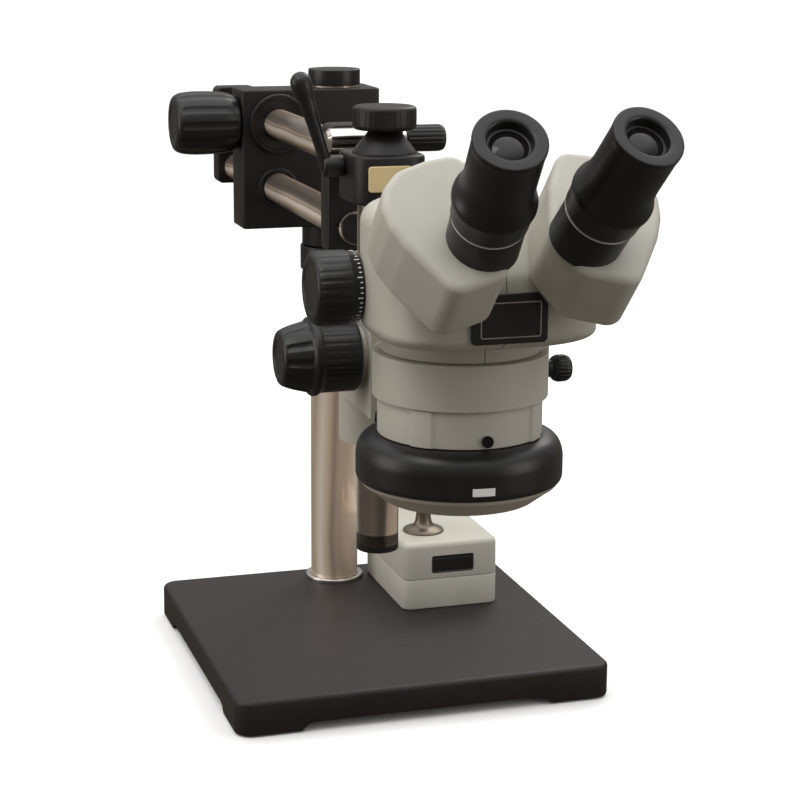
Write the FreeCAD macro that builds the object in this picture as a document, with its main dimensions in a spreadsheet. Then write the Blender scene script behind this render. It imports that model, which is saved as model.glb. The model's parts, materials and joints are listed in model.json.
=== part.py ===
"""Stereo microscope on a double-arm boom stand.

Millimetres, +Z up. The origin is the middle of the base plate on the bench plane.
The eyepieces face -Y, the boom's tail points to +Y and +X is the viewer's right.
"""

import FreeCAD, Part
import math
import os
from types import SimpleNamespace

import Sketcher

# Driving sizes in millimetres. Heights are above the bench, places are in the frame above.
SIZES = {
    # base plate
    "base_width": 250.0, "base_depth": 250.0, "base_top": 23.4, "base_lift": 1.0,
    "base_corner": 11.0, "base_edge": 3.0, "foot_length": 42.0, "arch_rise": 5.0,
    "pad_dia": 24.0, "pad_thick": 4.0, "pad_inset": 22.0,
    # fits
    "run_gap": 0.05, "free_gap": 0.35,
    # main pole
    "pole_y": 103.0, "pole_dia": 34.0, "pole_wall": 3.0, "pole_top": 390.0, "pole_seat": 10.0,
    "plug_length": 20.0, "bolt_dia": 10.0, "bolt_head_dia": 16.0, "bolt_head_thick": 6.0,
    "ring_dia": 42.0, "ring_thick": 3.0, "cap_dia": 36.0, "cap_thick": 3.0,
    # power box on the base
    "box_left": 25.0, "box_front": 12.0, "box_width": 70.0, "box_depth": 96.0,
    "box_height": 48.0, "box_split": 21.6, "box_wall": 2.5, "box_round": 7.0,
    "switch_x": 61.0, "switch_up": 32.0, "switch_width": 31.0, "switch_height": 13.0,
    "socket_x": 49.0, "socket_y": 43.0, "socket_dia": 10.0, "socket_flange": 29.0, "socket_tall": 26.0,
    # safety collar and pole block
    "collar_dia": 48.0, "collar_height": 17.5, "block_neck_dia": 45.5, "block_neck": 15.5,
    "block_low": 286.0, "block_high": 381.0, "block_front": 80.0, "block_thick": 46.0,
    "block_wing": 32.0, "block_left": 71.0, "block_right": 26.6, "block_round": 5.0,
    # boom
    "boom_x": -46.0, "arm_dia": 20.0, "upper_z": 358.0, "lower_z": 314.0,
    "arm_front": -112.0, "arm_rear": 222.0, "bush_wall": 3.0, "bush_flange_dia": 41.0, "bush_flange": 4.0,
    "tail_front": 205.0, "tail_back": 222.0, "tail_low": 302.0, "tail_high": 373.0, "tail_width": 30.0,
    "nose_back": -92.0, "nose_low": 298.0, "nose_high": 376.0, "nose_width": 33.0,
    "arm_plug_length": 3.0,
    "lock_y": 97.0, "lock_dia": 43.0, "lock_length": 44.0, "lock_stud_dia": 10.0,
    # tilting housing, lever and knobs
    "post_y": -160.0, "post_dia": 25.0, "holder_width": 42.0, "holder_back": -139.0,
    "holder_front": -191.0, "holder_round": 13.0,
    "holder_low": 338.0, "holder_high": 366.0, "cone_top": 374.0, "cone_dia": 37.0, "neck_dia": 17.0,
    "knob_y": -170.0, "knob_disc_dia": 36.5, "knob_disc_low": 379.0, "knob_disc_top": 392.6,
    "knob_stud_dia": 8.0, "label_width": 25.0, "label_height": 14.5, "label_x": -49.0, "label_z": 353.5,
    "label_thick": 1.2,
    "axle_y": -128.0, "axle_z": 369.0, "axle_dia": 14.0, "axle_left": -69.0, "axle_right": -10.0,
    "lug_width": 7.5, "lug_middle": -34.0, "tilt_knob_dia": 16.0, "tilt_stud_dia": 6.0,
    "tilt_knob_length": 13.0,
    "lever_z": 358.0, "lever_hub_dia": 12.5, "lever_hub_left": -88.0, "lever_stud_dia": 6.0,
    "lever_reach": 50.0, "lever_lean": 17.0,
    # drop post and focus mount
    "post_bottom": 128.5, "post_top": 364.0, "post_wall": 3.0, "post_cap": 3.0,
    "clamp_dia": 46.0, "clamp_low": 197.0, "clamp_high": 305.0,
    "mount_width": 48.0, "mount_low": 225.0, "mount_high": 288.0, "mount_front": -226.0,
    "pinion_y": -205.0, "pinion_z": 258.0, "pinion_shaft_dia": 8.0, "gear_teeth": 16.0, "gear_module": 1.0,
    "gear_width": 7.0, "boss_dia": 30.0, "boss_length": 3.0,
    "focus_knob_dia": 44.5, "focus_knob_inner": 24.0, "focus_knob_outer": 20.0, "focus_tip_dia": 31.0,
    "focus_knob_gap": 0.5,
    # dovetail slide, rack and mount ring
    "slide_width": 28.0, "slide_flare": 3.0, "slide_back": -213.0, "slide_front": -236.0,
    "slide_low": 222.0, "slide_high": 290.0, "rack_width": 8.0, "rack_depth": 5.0,
    "rack_low": 226.0, "rack_teeth_count": 20.0,
    "head_x": -46.0, "head_y": -307.0, "mount_ring_dia": 88.0, "barrel_dia": 76.0,
    "mount_ring_low": 257.0, "mount_ring_high": 280.6, "ring_arm_width": 28.0,
    "thumb_y": -312.0, "thumb_z": 268.0, "thumb_dia": 14.3, "thumb_length": 10.0, "thumb_stem": 5.0,
    "thumb_boss": 12.0,
    # microscope head
    "case_half": 54.0, "case_front": -378.0, "case_back": -262.0, "case_low": 290.0, "case_top": 357.0,
    "case_wall": 4.0, "case_round": 22.0, "case_back_round": 50.0, "neck_band_dia": 84.0, "neck_band_low": 281.0,
    "barrel_low": 238.0, "barrel_bore": 60.0, "lens_dia": 24.0, "lens_offset": 14.0, "lens_thick": 4.0,
    "adapter_low": 237.0, "adapter_high": 256.5, "adapter_dia": 88.0, "spigot_dia": 70.0,
    "spigot_length": 15.0, "spigot_bore": 62.0, "set_screw_dia": 6.0, "set_screw_z": 241.5,
    "light_dia": 108.0, "light_low": 213.0, "light_high": 237.0, "light_round": 8.0, "light_channel": 5.0,
    "diffuser_low": 202.0, "diffuser_slope": 12.0,
    "port_y": -300.0, "port_bore": 12.0, "port_cap_dia": 20.0, "port_cap_high": 374.0,
    "plate_width": 39.0, "plate_height": 24.5, "plate_z": 309.5, "plate_thick": 1.5,
    "zoom_y": -300.0, "zoom_z": 314.0, "zoom_shaft_dia": 8.0, "zoom_knob_dia": 38.0,
    "zoom_knob_length": 24.0,
    # eyepiece side: measured in the plane that faces the eyes, 45 degrees back from the vertical
    "eye_y": -381.5, "eye_z": 381.5, "prism_deep": 39.0, "axis_across": 36.0, "axis_up": -27.0,
    "pocket_dia": 43.0, "pocket_deep": 30.0, "bearing_tall": 4.0, "bearing_wall": 4.0,
    "tube_across": 25.4, "tube_up": -40.3, "tube_dia": 35.0, "tube_length": 19.0, "tube_bore": 24.0,
    "barrel_eye_dia": 33.0, "collar_eye_dia": 39.5, "collar_eye_length": 14.0, "barrel_eye_length": 40.0,
    "eye_lens_dia": 19.0, "eye_lens_thick": 4.0, "eye_recess": 5.0,
    "prism_size": 22.0, "prism_tall": 20.0,
}

EYE_TILT = 45.0  # the eyepiece plane's lean, degrees
EYE_SPREAD = 5.26  # each eyepiece leans out from the middle, degrees
X_AXIS = FreeCAD.Vector(1, 0, 0)
Y_AXIS = FreeCAD.Vector(0, 1, 0)
Z_AXIS = FreeCAD.Vector(0, 0, 1)
UPRIGHT = FreeCAD.Rotation()
TO_RIGHT = FreeCAD.Rotation(Y_AXIS, 90)  # the piece's own +Z lies along +X
TO_LEFT = FreeCAD.Rotation(Y_AXIS, -90)  # ... along -X
TO_BACK = FreeCAD.Rotation(X_AXIS, -90)  # ... along +Y
TO_FRONT = FreeCAD.Rotation(X_AXIS, 90)  # ... along -Y
TO_EYE = FreeCAD.Rotation(X_AXIS, EYE_TILT)  # ... up and towards the viewer


class Size:
    """A length that keeps its spreadsheet expression beside its present value."""

    def __init__(self, text, value):
        self.text = text
        self.value = value

    def combine(self, other, sign, value, swapped=False):
        other_text = other.text if isinstance(other, Size) else repr(float(other))
        first, second = (other_text, self.text) if swapped else (self.text, other_text)
        return Size(f"({first} {sign} {second})", value)

    def __add__(self, other):
        return self.combine(other, "+", self.value + plain(other))

    def __radd__(self, other):
        return self.combine(other, "+", plain(other) + self.value, True)

    def __sub__(self, other):
        return self.combine(other, "-", self.value - plain(other))

    def __rsub__(self, other):
        return self.combine(other, "-", plain(other) - self.value, True)

    def __mul__(self, other):
        return self.combine(other, "*", self.value * plain(other))

    def __rmul__(self, other):
        return self.combine(other, "*", plain(other) * self.value, True)

    def __truediv__(self, other):
        return self.combine(other, "/", self.value / plain(other))

    def __neg__(self):
        return Size(f"(0 - {self.text})", -self.value)


def plain(size):
    """The present value of a size or number."""
    return size.value if isinstance(size, Size) else float(size)


def bind(item, name, size):
    """Tie a property to the spreadsheet, or set it when it is a bare number."""
    if isinstance(size, Size):
        item.setExpression(name, size.text)
    elif "." not in name:
        setattr(item, name, float(size))
    else:
        item.setExpression(name, repr(float(size)))


doc = FreeCAD.newDocument("stereo_microscope")
sheet = doc.addObject("Spreadsheet::Sheet", "Sizes")
for row, (alias, number) in enumerate(SIZES.items(), start=1):
    sheet.set(f"A{row}", alias)
    sheet.set(f"B{row}", str(number))
    sheet.setAlias(f"B{row}", alias)
doc.recompute()
s = SimpleNamespace(**{alias: Size(f"Sizes.{alias}", number) for alias, number in SIZES.items()})

PARTS = []


# ---------------------------------------------------------------- helpers
def place(item, position, turn):
    """Set a piece's turn and tie its position to the spreadsheet."""
    item.Placement = FreeCAD.Placement(FreeCAD.Vector(*[plain(size) for size in position]), turn)
    for letter, size in zip("xyz", position):
        bind(item, f"Placement.Base.{letter}", size)


def keep(item, label):
    """Name a finished sub-part."""
    item.Label = label
    PARTS.append(item)
    return item


def new_body(label, position=(0, 0, 0), turn=UPRIGHT):
    body = doc.addObject("PartDesign::Body", "Body_" + label)
    place(body, position, turn)
    return keep(body, label)


def new_sketch(body, plane, lift=0, shift=(0, 0), turn=UPRIGHT):
    """A sketch on one of the body's own origin planes, lifted along its normal."""
    sketch = body.newObject("Sketcher::SketchObject", f"{body.Name}_sketch")
    feature = [item for item in body.Origin.OriginFeatures if item.Role == plane][0]
    sketch.AttachmentSupport = (feature, [""])
    sketch.MapMode = "FlatFace"
    sketch.AttachmentOffset = FreeCAD.Placement(FreeCAD.Vector(0, 0, 0), turn)
    for letter, size in zip("xyz", (shift[0], shift[1], lift)):
        if isinstance(size, Size) or size:
            bind(sketch, f"AttachmentOffset.Base.{letter}", size)
    return sketch


def pin_point(sketch, geometry, end, across, up):
    """Hold one end or centre of a sketch element at bound distances from the sketch's origin."""
    for kind, size in (("DistanceX", across), ("DistanceY", up)):
        index = sketch.addConstraint(Sketcher.Constraint(kind, -1, 1, geometry, end, plain(size)))
        if isinstance(size, Size):
            sketch.setExpression(f"Constraints[{index}]", size.text)


def add_outline(sketch, points):
    """A closed outline of straight edges through bound points."""
    spots = [FreeCAD.Vector(plain(across), plain(up), 0) for across, up in points]
    first = sketch.GeometryCount
    count = len(spots)
    for index in range(count):
        sketch.addGeometry(Part.LineSegment(spots[index], spots[(index + 1) % count]))
    for index, (across, up) in enumerate(points):
        following = first + (index + 1) % count
        sketch.addConstraint(Sketcher.Constraint("Coincident", first + index, 2, following, 1))
        pin_point(sketch, first + index, 1, across, up)
    return sketch


def add_circle(sketch, centre, radius):
    circle = Part.Circle(FreeCAD.Vector(plain(centre[0]), plain(centre[1]), 0), Z_AXIS, plain(radius))
    geometry = sketch.addGeometry(circle)
    pin_point(sketch, geometry, 3, *centre)
    index = sketch.addConstraint(Sketcher.Constraint("Radius", geometry, plain(radius)))
    if isinstance(radius, Size):
        sketch.setExpression(f"Constraints[{index}]", radius.text)
    return sketch


def rectangle(left, right, low, high):
    return [(left, low), (right, low), (right, high), (left, high)]


def add_pad(body, sketch, length, middle=False, backwards=False):
    pad = body.newObject("PartDesign::Pad", f"{body.Name}_pad")
    pad.Profile = sketch
    bind(pad, "Length", length)
    pad.Midplane = middle
    pad.Reversed = backwards
    return pad


def add_pocket(body, sketch, length, middle=False, backwards=False):
    pocket = body.newObject("PartDesign::Pocket", f"{body.Name}_pocket")
    pocket.Profile = sketch
    bind(pocket, "Length", length)
    pocket.Midplane = middle
    pocket.Reversed = backwards
    return pocket


def round_edges(body, radius, wanted):
    """Fillet the edges of the body's tip that pass a test."""
    doc.recompute()
    base = body.Tip
    names = [f"Edge{n}" for n, edge in enumerate(base.Shape.Edges, start=1) if wanted(edge)]
    fillet = body.newObject("PartDesign::Fillet", f"{body.Name}_round")
    fillet.Base = (base, names)
    bind(fillet, "Radius", radius)
    return fillet


def is_upright(edge):
    """True for a straight edge along the piece's own Z."""
    if edge.Curve.TypeId != "Part::GeomLine":
        return False
    return abs(abs(edge.tangentAt(edge.FirstParameter).z) - 1) < 1e-6


def spun(label, position, turn, points):
    """A turned piece: an outline of (radius, height) points spun about the piece's own Z."""
    body = new_body(label, position, turn)
    sketch = add_outline(new_sketch(body, "XZ_Plane"), points)
    spin = body.newObject("PartDesign::Revolution", f"{body.Name}_spin")
    spin.Profile = sketch
    spin.ReferenceAxis = (sketch, ["V_Axis"])
    spin.Angle = 360
    return body


def tube_points(outer, inner, low, high):
    return [(inner, low), (outer, low), (outer, high), (inner, high)]


def rod_points(radius, low, high):
    return [(0, low), (radius, low), (radius, high), (0, high)]


def cylinder(radius, height, position, turn=UPRIGHT):
    """A plain cylinder used inside a boolean."""
    item = doc.addObject("Part::Cylinder", "Rod")
    bind(item, "Radius", radius)
    bind(item, "Height", height)
    place(item, position, turn)
    return item


def like_pair(label, items):
    """Move two kept pieces into one sub-part."""
    for item in items:
        PARTS.remove(item)
    return gather(label, items)


def gather(label, shapes):
    """Like pieces that share one sub-part as separate solids."""
    group = doc.addObject("Part::Compound", "Group_" + label)
    group.Links = shapes
    return keep(group, label)


def join(label, shapes):
    union = doc.addObject("Part::MultiFuse", "Union_" + label)
    union.Shapes = shapes
    return keep(union, label)


# ---------------------------------------------------------------- base and pole
def make_base():
    half_width = s.base_width / 2
    half_depth = s.base_depth / 2
    body = new_body("base_plate")
    slab = add_outline(
        new_sketch(body, "XY_Plane", s.base_lift),
        rectangle(-half_width, half_width, -half_depth, half_depth),
    )
    add_pad(body, slab, s.base_top - s.base_lift)
    round_edges(body, s.base_corner, is_upright)
    top = plain(s.base_top)
    round_edges(body, s.base_edge, lambda edge: edge.BoundBox.ZMin > top - 0.01)
    arch_width = half_width - s.foot_length
    arch_depth = half_depth - s.foot_length
    outlines = (
        rectangle(-arch_width, arch_width, -half_depth - 1, half_depth + 1),
        rectangle(-half_width - 1, half_width + 1, -arch_depth, arch_depth),
    )
    for outline in outlines:
        arch = add_outline(new_sketch(body, "XY_Plane", s.base_lift), outline)
        add_pocket(body, arch, s.arch_rise, backwards=True)
    for centre in pad_centres():
        seat = add_circle(new_sketch(body, "XY_Plane", s.base_lift), centre, s.pad_dia / 2)
        add_pocket(body, seat, s.pad_thick - s.base_lift, backwards=True)
    bore = add_circle(new_sketch(body, "XY_Plane", s.base_top), (0, s.pole_y), s.pole_dia / 2 + s.run_gap)
    add_pocket(body, bore, s.pole_seat)
    hole = add_circle(new_sketch(body, "XY_Plane", s.base_top), (0, s.pole_y), s.bolt_dia / 2 + 0.5)
    add_pocket(body, hole, s.base_top)
    sink = add_circle(new_sketch(body, "XY_Plane", s.base_lift), (0, s.pole_y), s.bolt_head_dia / 2 + 1)
    add_pocket(body, sink, bolt_seat() - s.base_lift, backwards=True)


def pad_centres():
    across = s.base_width / 2 - s.pad_inset
    along = s.base_depth / 2 - s.pad_inset
    return [(across * x, along * y) for x in (-1, 1) for y in (-1, 1)]


def bolt_seat():
    """Height of the web under the pole that the bolt's head pulls against."""
    return s.base_lift + s.arch_rise + 3


def make_pads():
    pads = [cylinder(s.pad_dia / 2, s.pad_thick, (x, y, 0)) for x, y in pad_centres()]
    gather("foot_pads", pads)


def make_pole():
    foot = s.base_top - s.pole_seat
    outer = s.pole_dia / 2
    inner = outer - s.pole_wall
    thread = s.bolt_dia / 2
    at = (0, s.pole_y, 0)
    spun(
        "pole", at, UPRIGHT,
        [(thread, foot), (outer, foot), (outer, s.pole_top), (inner, s.pole_top),
         (inner, foot + s.plug_length), (thread, foot + s.plug_length)],
    )
    head = bolt_seat() - s.bolt_head_thick
    spun(
        "pole_bolt", at, UPRIGHT,
        [(0, head), (s.bolt_head_dia / 2, head), (s.bolt_head_dia / 2, bolt_seat()),
         (thread, bolt_seat()), (thread, foot + s.plug_length - 3), (0, foot + s.plug_length - 3)],
    )
    ring_top = s.base_top + s.ring_thick
    spun("pole_ring", at, UPRIGHT, tube_points(s.ring_dia / 2, outer + s.run_gap, s.base_top, ring_top))
    spigot = inner - s.run_gap
    spun(
        "pole_cap", at, UPRIGHT,
        [(0, s.pole_top - 8), (spigot, s.pole_top - 8), (spigot, s.pole_top), (s.cap_dia / 2, s.pole_top),
         (s.cap_dia / 2, s.pole_top + s.cap_thick), (0, s.pole_top + s.cap_thick)],
    )


# ---------------------------------------------------------------- power box
def box_shell(label, low, high, floor_low, floor_high, edge_z):
    """Half of the power box: a rounded tray with its floor on one side."""
    body = new_body(label, (s.box_left, s.box_front, s.base_top))
    outline = rectangle(0, s.box_width, 0, s.box_depth)
    add_pad(body, add_outline(new_sketch(body, "XY_Plane", low), outline), high - low)
    round_edges(body, s.box_round, is_upright)
    edge_height = plain(edge_z)
    round_edges(body, s.box_wall - 0.5, lambda edge: abs(edge.BoundBox.ZMin - edge_height) < 0.01
                and abs(edge.BoundBox.ZMax - edge_height) < 0.01)
    wall = s.box_wall
    inside = rectangle(wall, s.box_width - wall, wall, s.box_depth - wall)
    add_pocket(body, add_outline(new_sketch(body, "XY_Plane", floor_high), inside), floor_high - floor_low)
    return body


def make_power_box():
    box_shell("box_base", 0, s.box_split, s.box_wall, s.box_split, 0)
    cover = box_shell(
        "box_cover", s.box_split, s.box_height, s.box_split, s.box_height - s.box_wall, s.box_height
    )
    half_width = s.switch_width / 2
    half_height = s.switch_height / 2
    window = rectangle(
        s.switch_x - s.box_left - half_width, s.switch_x - s.box_left + half_width,
        s.switch_up - half_height, s.switch_up + half_height,
    )
    add_pocket(cover, add_outline(new_sketch(cover, "XZ_Plane"), window), s.box_wall, backwards=False)
    hole = new_sketch(cover, "XY_Plane", s.box_height)
    add_circle(hole, (s.socket_x - s.box_left, s.socket_y - s.box_front), s.socket_dia / 2 - 1)
    add_pocket(cover, hole, s.box_wall)
    roof = s.base_top + s.box_height
    spun(
        "lead_socket", (s.socket_x, s.socket_y, roof), UPRIGHT,
        [(0, -s.box_wall - 4), (s.socket_dia / 2 - 1, -s.box_wall - 4), (s.socket_dia / 2 - 1, 0),
         (s.socket_flange / 2, 0), (s.socket_flange / 2 - 1, 1.5), (s.socket_dia / 2 + 1.5, 2),
         (s.socket_dia / 2 + 1, 6), (s.socket_dia / 2, 6.5), (s.socket_dia / 2, s.socket_tall),
         (0, s.socket_tall)],
    )
    rocker_width = s.switch_width / 2 - 1
    rocker_height = s.switch_height / 2 - 1
    body = new_body("rocker_switch", (s.switch_x, s.box_front + 6, s.base_top + s.switch_up))
    profile = [(-6, -rocker_height * 0.8), (-6.6, 0), (-6, rocker_height * 0.8), (0, rocker_height * 0.7),
               (2, 0), (0, -rocker_height * 0.7)]
    add_pad(body, add_outline(new_sketch(body, "YZ_Plane"), profile), rocker_width * 2 - 0.7, middle=True)
    stubs = add_circle(new_sketch(body, "YZ_Plane"), (-1.5, 0), 1)
    add_pad(body, stubs, s.switch_width - 0.6, middle=True)
    frame = new_body("switch_frame", (s.switch_x, s.box_front, s.base_top + s.switch_up))
    outer = rectangle(-half_width, half_width, -half_height, half_height)
    add_pad(frame, add_outline(new_sketch(frame, "XZ_Plane"), outer), s.box_wall + 8, backwards=True)
    inner = rectangle(-rocker_width, rocker_width, -rocker_height, rocker_height)
    add_pocket(frame, add_outline(new_sketch(frame, "XZ_Plane"), inner), s.box_wall + 6.5)
    pivots = add_circle(new_sketch(frame, "YZ_Plane"), (4.5, 0), 1 + s.run_gap)
    add_pocket(frame, pivots, s.switch_width + 2, middle=True)


# ---------------------------------------------------------------- collar and pole block
def make_collar():
    low = s.block_low - s.block_neck - s.free_gap - s.collar_height
    high = low + s.collar_height
    bore = s.pole_dia / 2 + s.run_gap
    body = spun("safety_collar", (0, s.pole_y, 0), UPRIGHT, tube_points(s.collar_dia / 2, bore, low, high))
    middle = (low + high) / 2
    hole = add_circle(new_sketch(body, "XZ_Plane"), (0, middle), s.thumb_stem / 2 + s.run_gap)
    add_pocket(body, hole, s.collar_dia)
    spun(
        "collar_screw", (0, s.pole_y + s.pole_dia / 2 + 0.5, middle), TO_BACK,
        thumb_screw_points(s.collar_dia / 2 - s.pole_dia / 2 + 1),
    )


def thumb_screw_points(stem):
    """A plain stem with a round head on it."""
    return [(0, 0), (s.thumb_stem / 2, 0), (s.thumb_stem / 2, stem), (s.thumb_dia / 2, stem),
            (s.thumb_dia / 2, stem + s.thumb_length), (0, stem + s.thumb_length)]


def make_block():
    back = s.block_front + s.block_thick
    wing_back = s.block_front + s.block_wing
    step = -(s.pole_dia / 2 + 8)
    body = new_body("pole_block")
    outline = [(-s.block_left, s.block_front), (s.block_right, s.block_front), (s.block_right, back),
               (step, back), (step, wing_back), (-s.block_left, wing_back)]
    sketch = add_outline(new_sketch(body, "XY_Plane", s.block_low), outline)
    add_pad(body, sketch, s.block_high - s.block_low)
    round_edges(body, s.block_round, is_upright)
    neck = add_circle(new_sketch(body, "XY_Plane", s.block_low), (0, s.pole_y), s.block_neck_dia / 2)
    add_pad(body, neck, s.block_neck, backwards=True)
    bore = new_sketch(body, "XY_Plane", s.block_low - s.block_neck)
    add_circle(bore, (0, s.pole_y), s.pole_dia / 2 + s.run_gap)
    add_pocket(body, bore, s.block_high - s.block_low + s.block_neck, backwards=True)
    arm_bores = new_sketch(body, "XZ_Plane", -s.block_front)
    for height in (s.upper_z, s.lower_z):
        add_circle(arm_bores, (s.boom_x, height), s.arm_dia / 2 + s.bush_wall)
    add_pocket(body, arm_bores, s.block_wing)
    lock_bore = add_circle(new_sketch(body, "YZ_Plane", -s.block_left), (s.lock_y, s.upper_z),
                           s.lock_stud_dia / 2 + s.run_gap)
    add_pocket(body, lock_bore, s.block_left + s.boom_x, backwards=True)
    pole_bore = add_circle(new_sketch(body, "XZ_Plane", -back), (0, pole_lock_z()),
                           s.lock_stud_dia / 2 + s.run_gap)
    add_pocket(body, pole_bore, back - s.pole_y, backwards=True)


def pole_lock_z():
    return (s.block_low + s.block_high) / 2


def make_bushes():
    """Four plain bushes; the upper front one has a flange."""
    inner = s.arm_dia / 2 + s.run_gap
    outer = s.arm_dia / 2 + s.bush_wall
    long = s.block_wing * 0.35
    shapes = []
    for height in (s.upper_z, s.lower_z):
        for start in (s.block_front, s.block_front + s.block_wing - long):
            shapes.append(drilled(cylinder(outer, long, (s.boom_x, start, height), TO_BACK),
                                  cylinder(inner, long, (s.boom_x, start, height), TO_BACK)))
    at = (s.boom_x, s.block_front - s.bush_flange, s.upper_z)
    shapes.append(drilled(cylinder(s.bush_flange_dia / 2, s.bush_flange, at, TO_BACK),
                          cylinder(inner, s.bush_flange, at, TO_BACK)))
    gather("arm_bushes", shapes)


def drilled(solid, tool):
    cut = doc.addObject("Part::Cut", "Drilled")
    cut.Base = solid
    cut.Tool = tool
    return cut


def lock_knob(label, position, turn, stud, diameter, length):
    """A round knob on a stud; the stud's tip is the piece's own origin."""
    radius = diameter / 2
    spun(
        label, position, turn,
        [(0, 0), (s.lock_stud_dia / 2, 0), (s.lock_stud_dia / 2, stud), (radius * 0.8, stud),
         (radius, stud + 3), (radius, stud + length - 8), (radius * 0.9, stud + length - 2),
         (radius * 0.7, stud + length), (0, stud + length)],
    )


def make_locks():
    arm_side = s.boom_x - s.arm_dia / 2 - s.bush_wall
    stud = arm_side + s.block_left + 0.6
    lock_knob("boom_lock_knob", (arm_side - s.free_gap, s.lock_y, s.upper_z), TO_LEFT, stud - s.free_gap,
              s.lock_dia, s.lock_length)
    pole_side = s.pole_y + s.pole_dia / 2 + 0.5
    stud = s.block_front + s.block_thick - pole_side + 1
    lock_knob("pole_lock_knob", (0, pole_side, pole_lock_z()), TO_BACK, stud, s.lock_dia * 0.8,
              s.lock_length * 0.6)


# ---------------------------------------------------------------- boom
def make_boom():
    for label, height in (("upper_arm", s.upper_z), ("lower_arm", s.lower_z)):
        spun(label, (s.boom_x, s.arm_front, height), TO_BACK,
             rod_points(s.arm_dia / 2, 0, s.arm_rear - s.arm_front))
    radius = s.arm_dia / 2 - 1
    plugs = [cylinder(radius, s.arm_plug_length, (s.boom_x, s.arm_front, height), TO_FRONT)
             for height in (s.upper_z, s.lower_z)]
    gather("arm_plugs", plugs)
    end_block("rear_end_plate", s.tail_front, s.tail_back, s.tail_low, s.tail_high, s.tail_width)
    nose = end_block("front_end_block", s.arm_front + 2, s.nose_back, s.nose_low, s.nose_high, s.nose_width)
    lug_left = s.lug_middle - s.free_gap / 2 - s.lug_width
    lug = lug_outline(s.arm_front + 3)
    sketch = add_outline(new_sketch(nose, "YZ_Plane", lug_left), lug)
    add_pad(nose, sketch, s.lug_width)
    bore = new_sketch(nose, "YZ_Plane", lug_left - 4)
    add_circle(bore, (s.axle_y, s.axle_z), s.axle_dia / 2 + s.run_gap)
    add_pocket(nose, bore, s.lug_width + 8, backwards=True)
    sockets = new_sketch(nose, "XZ_Plane", s.arm_plug_length - s.arm_front + 1)
    for height in (s.upper_z, s.lower_z):
        add_circle(sockets, (s.boom_x, height), s.arm_dia / 2)
    add_pocket(nose, sockets, s.nose_back - s.arm_front + s.arm_plug_length + 1)


def lug_outline(root):
    """A lug from a root plane to round the tilt axle, seen from the side."""
    high = s.axle_z + s.axle_dia / 2 + 3
    low = s.axle_z - s.axle_dia / 2 - 3
    tip = s.axle_y - s.axle_dia / 2 - 2
    return [(root, low), (tip + 2, low), (tip, low + 3), (tip, high - 3), (tip + 3, high), (root, high)]


def end_block(label, front, back, low, high, width):
    """A block across both arms' ends, bored for them."""
    body = new_body(label)
    sides = rectangle(s.boom_x - width / 2, s.boom_x + width / 2, front, back)
    add_pad(body, add_outline(new_sketch(body, "XY_Plane", low), sides), high - low)
    round_edges(body, 3, is_upright)
    bores = new_sketch(body, "XZ_Plane", -front)
    for height in (s.upper_z, s.lower_z):
        add_circle(bores, (s.boom_x, height), s.arm_dia / 2)
    add_pocket(body, bores, back - front)
    return body


# ---------------------------------------------------------------- tilting housing
def make_housing():
    """The block that holds the drop post: a rounded block, a cone on top and a lug to the tilt axle."""
    body = new_body("post_housing", (s.boom_x, s.post_y, 0))
    half = s.holder_width / 2
    back = s.holder_back - s.post_y
    outline = rectangle(-half, half, s.holder_front - s.post_y, back)
    tall = s.holder_high - s.holder_low
    add_pad(body, add_outline(new_sketch(body, "XY_Plane", s.holder_low), outline), tall)
    round_edges(body, s.holder_round, is_upright)
    cone = add_outline(
        new_sketch(body, "XZ_Plane", s.post_y - s.knob_y),
        [(0, s.holder_high - 4), (s.cone_dia / 2, s.holder_high - 4), (s.cone_dia / 2, s.holder_high),
         (s.neck_dia / 2, s.cone_top), (0, s.cone_top)],
    )
    spin = body.newObject("PartDesign::Revolution", "cone_spin")
    spin.Profile = cone
    spin.ReferenceAxis = (cone, ["V_Axis"])
    spin.Angle = 360
    lug_left = s.lug_middle + s.free_gap / 2 - s.boom_x
    high = s.axle_z + s.axle_dia / 2 + 3
    low = s.axle_z - s.axle_dia / 2 - 3
    tip = s.axle_y + s.axle_dia / 2 + 2 - s.post_y
    axle = s.axle_y - s.post_y
    lug = [(back - 4, low), (tip, low), (tip, high - 3), (tip - 3, high),
           (axle - s.axle_dia / 2, high), (back - 4, s.holder_high - 1)]
    add_pad(body, add_outline(new_sketch(body, "YZ_Plane", lug_left), lug), s.lug_width)
    post = add_circle(new_sketch(body, "XY_Plane", s.holder_low), (0, 0), s.post_dia / 2 + s.run_gap)
    add_pocket(body, post, s.post_top - s.holder_low + 0.4, backwards=True)
    stud = new_sketch(body, "XY_Plane", s.cone_top)
    add_circle(stud, (0, s.knob_y - s.post_y), s.knob_stud_dia / 2 + s.run_gap)
    add_pocket(body, stud, s.cone_top - s.post_top - 0.8)
    bore = new_sketch(body, "YZ_Plane", lug_left - 4)
    add_circle(bore, (axle, s.axle_z), s.axle_dia / 2)
    add_pocket(body, bore, s.lug_width + 8, backwards=True)
    screw = add_circle(new_sketch(body, "YZ_Plane"), (0, s.lever_z), s.lever_stud_dia / 2 + s.run_gap)
    add_pocket(body, screw, s.holder_width)
    make_tilt_axle()
    make_post_knob()
    plate = new_body("housing_label", (s.label_x, s.holder_front, s.label_z))
    face = rectangle(-s.label_width / 2, s.label_width / 2, -s.label_height / 2, s.label_height / 2)
    add_pad(plate, add_outline(new_sketch(plate, "XZ_Plane"), face), s.label_thick)


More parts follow.
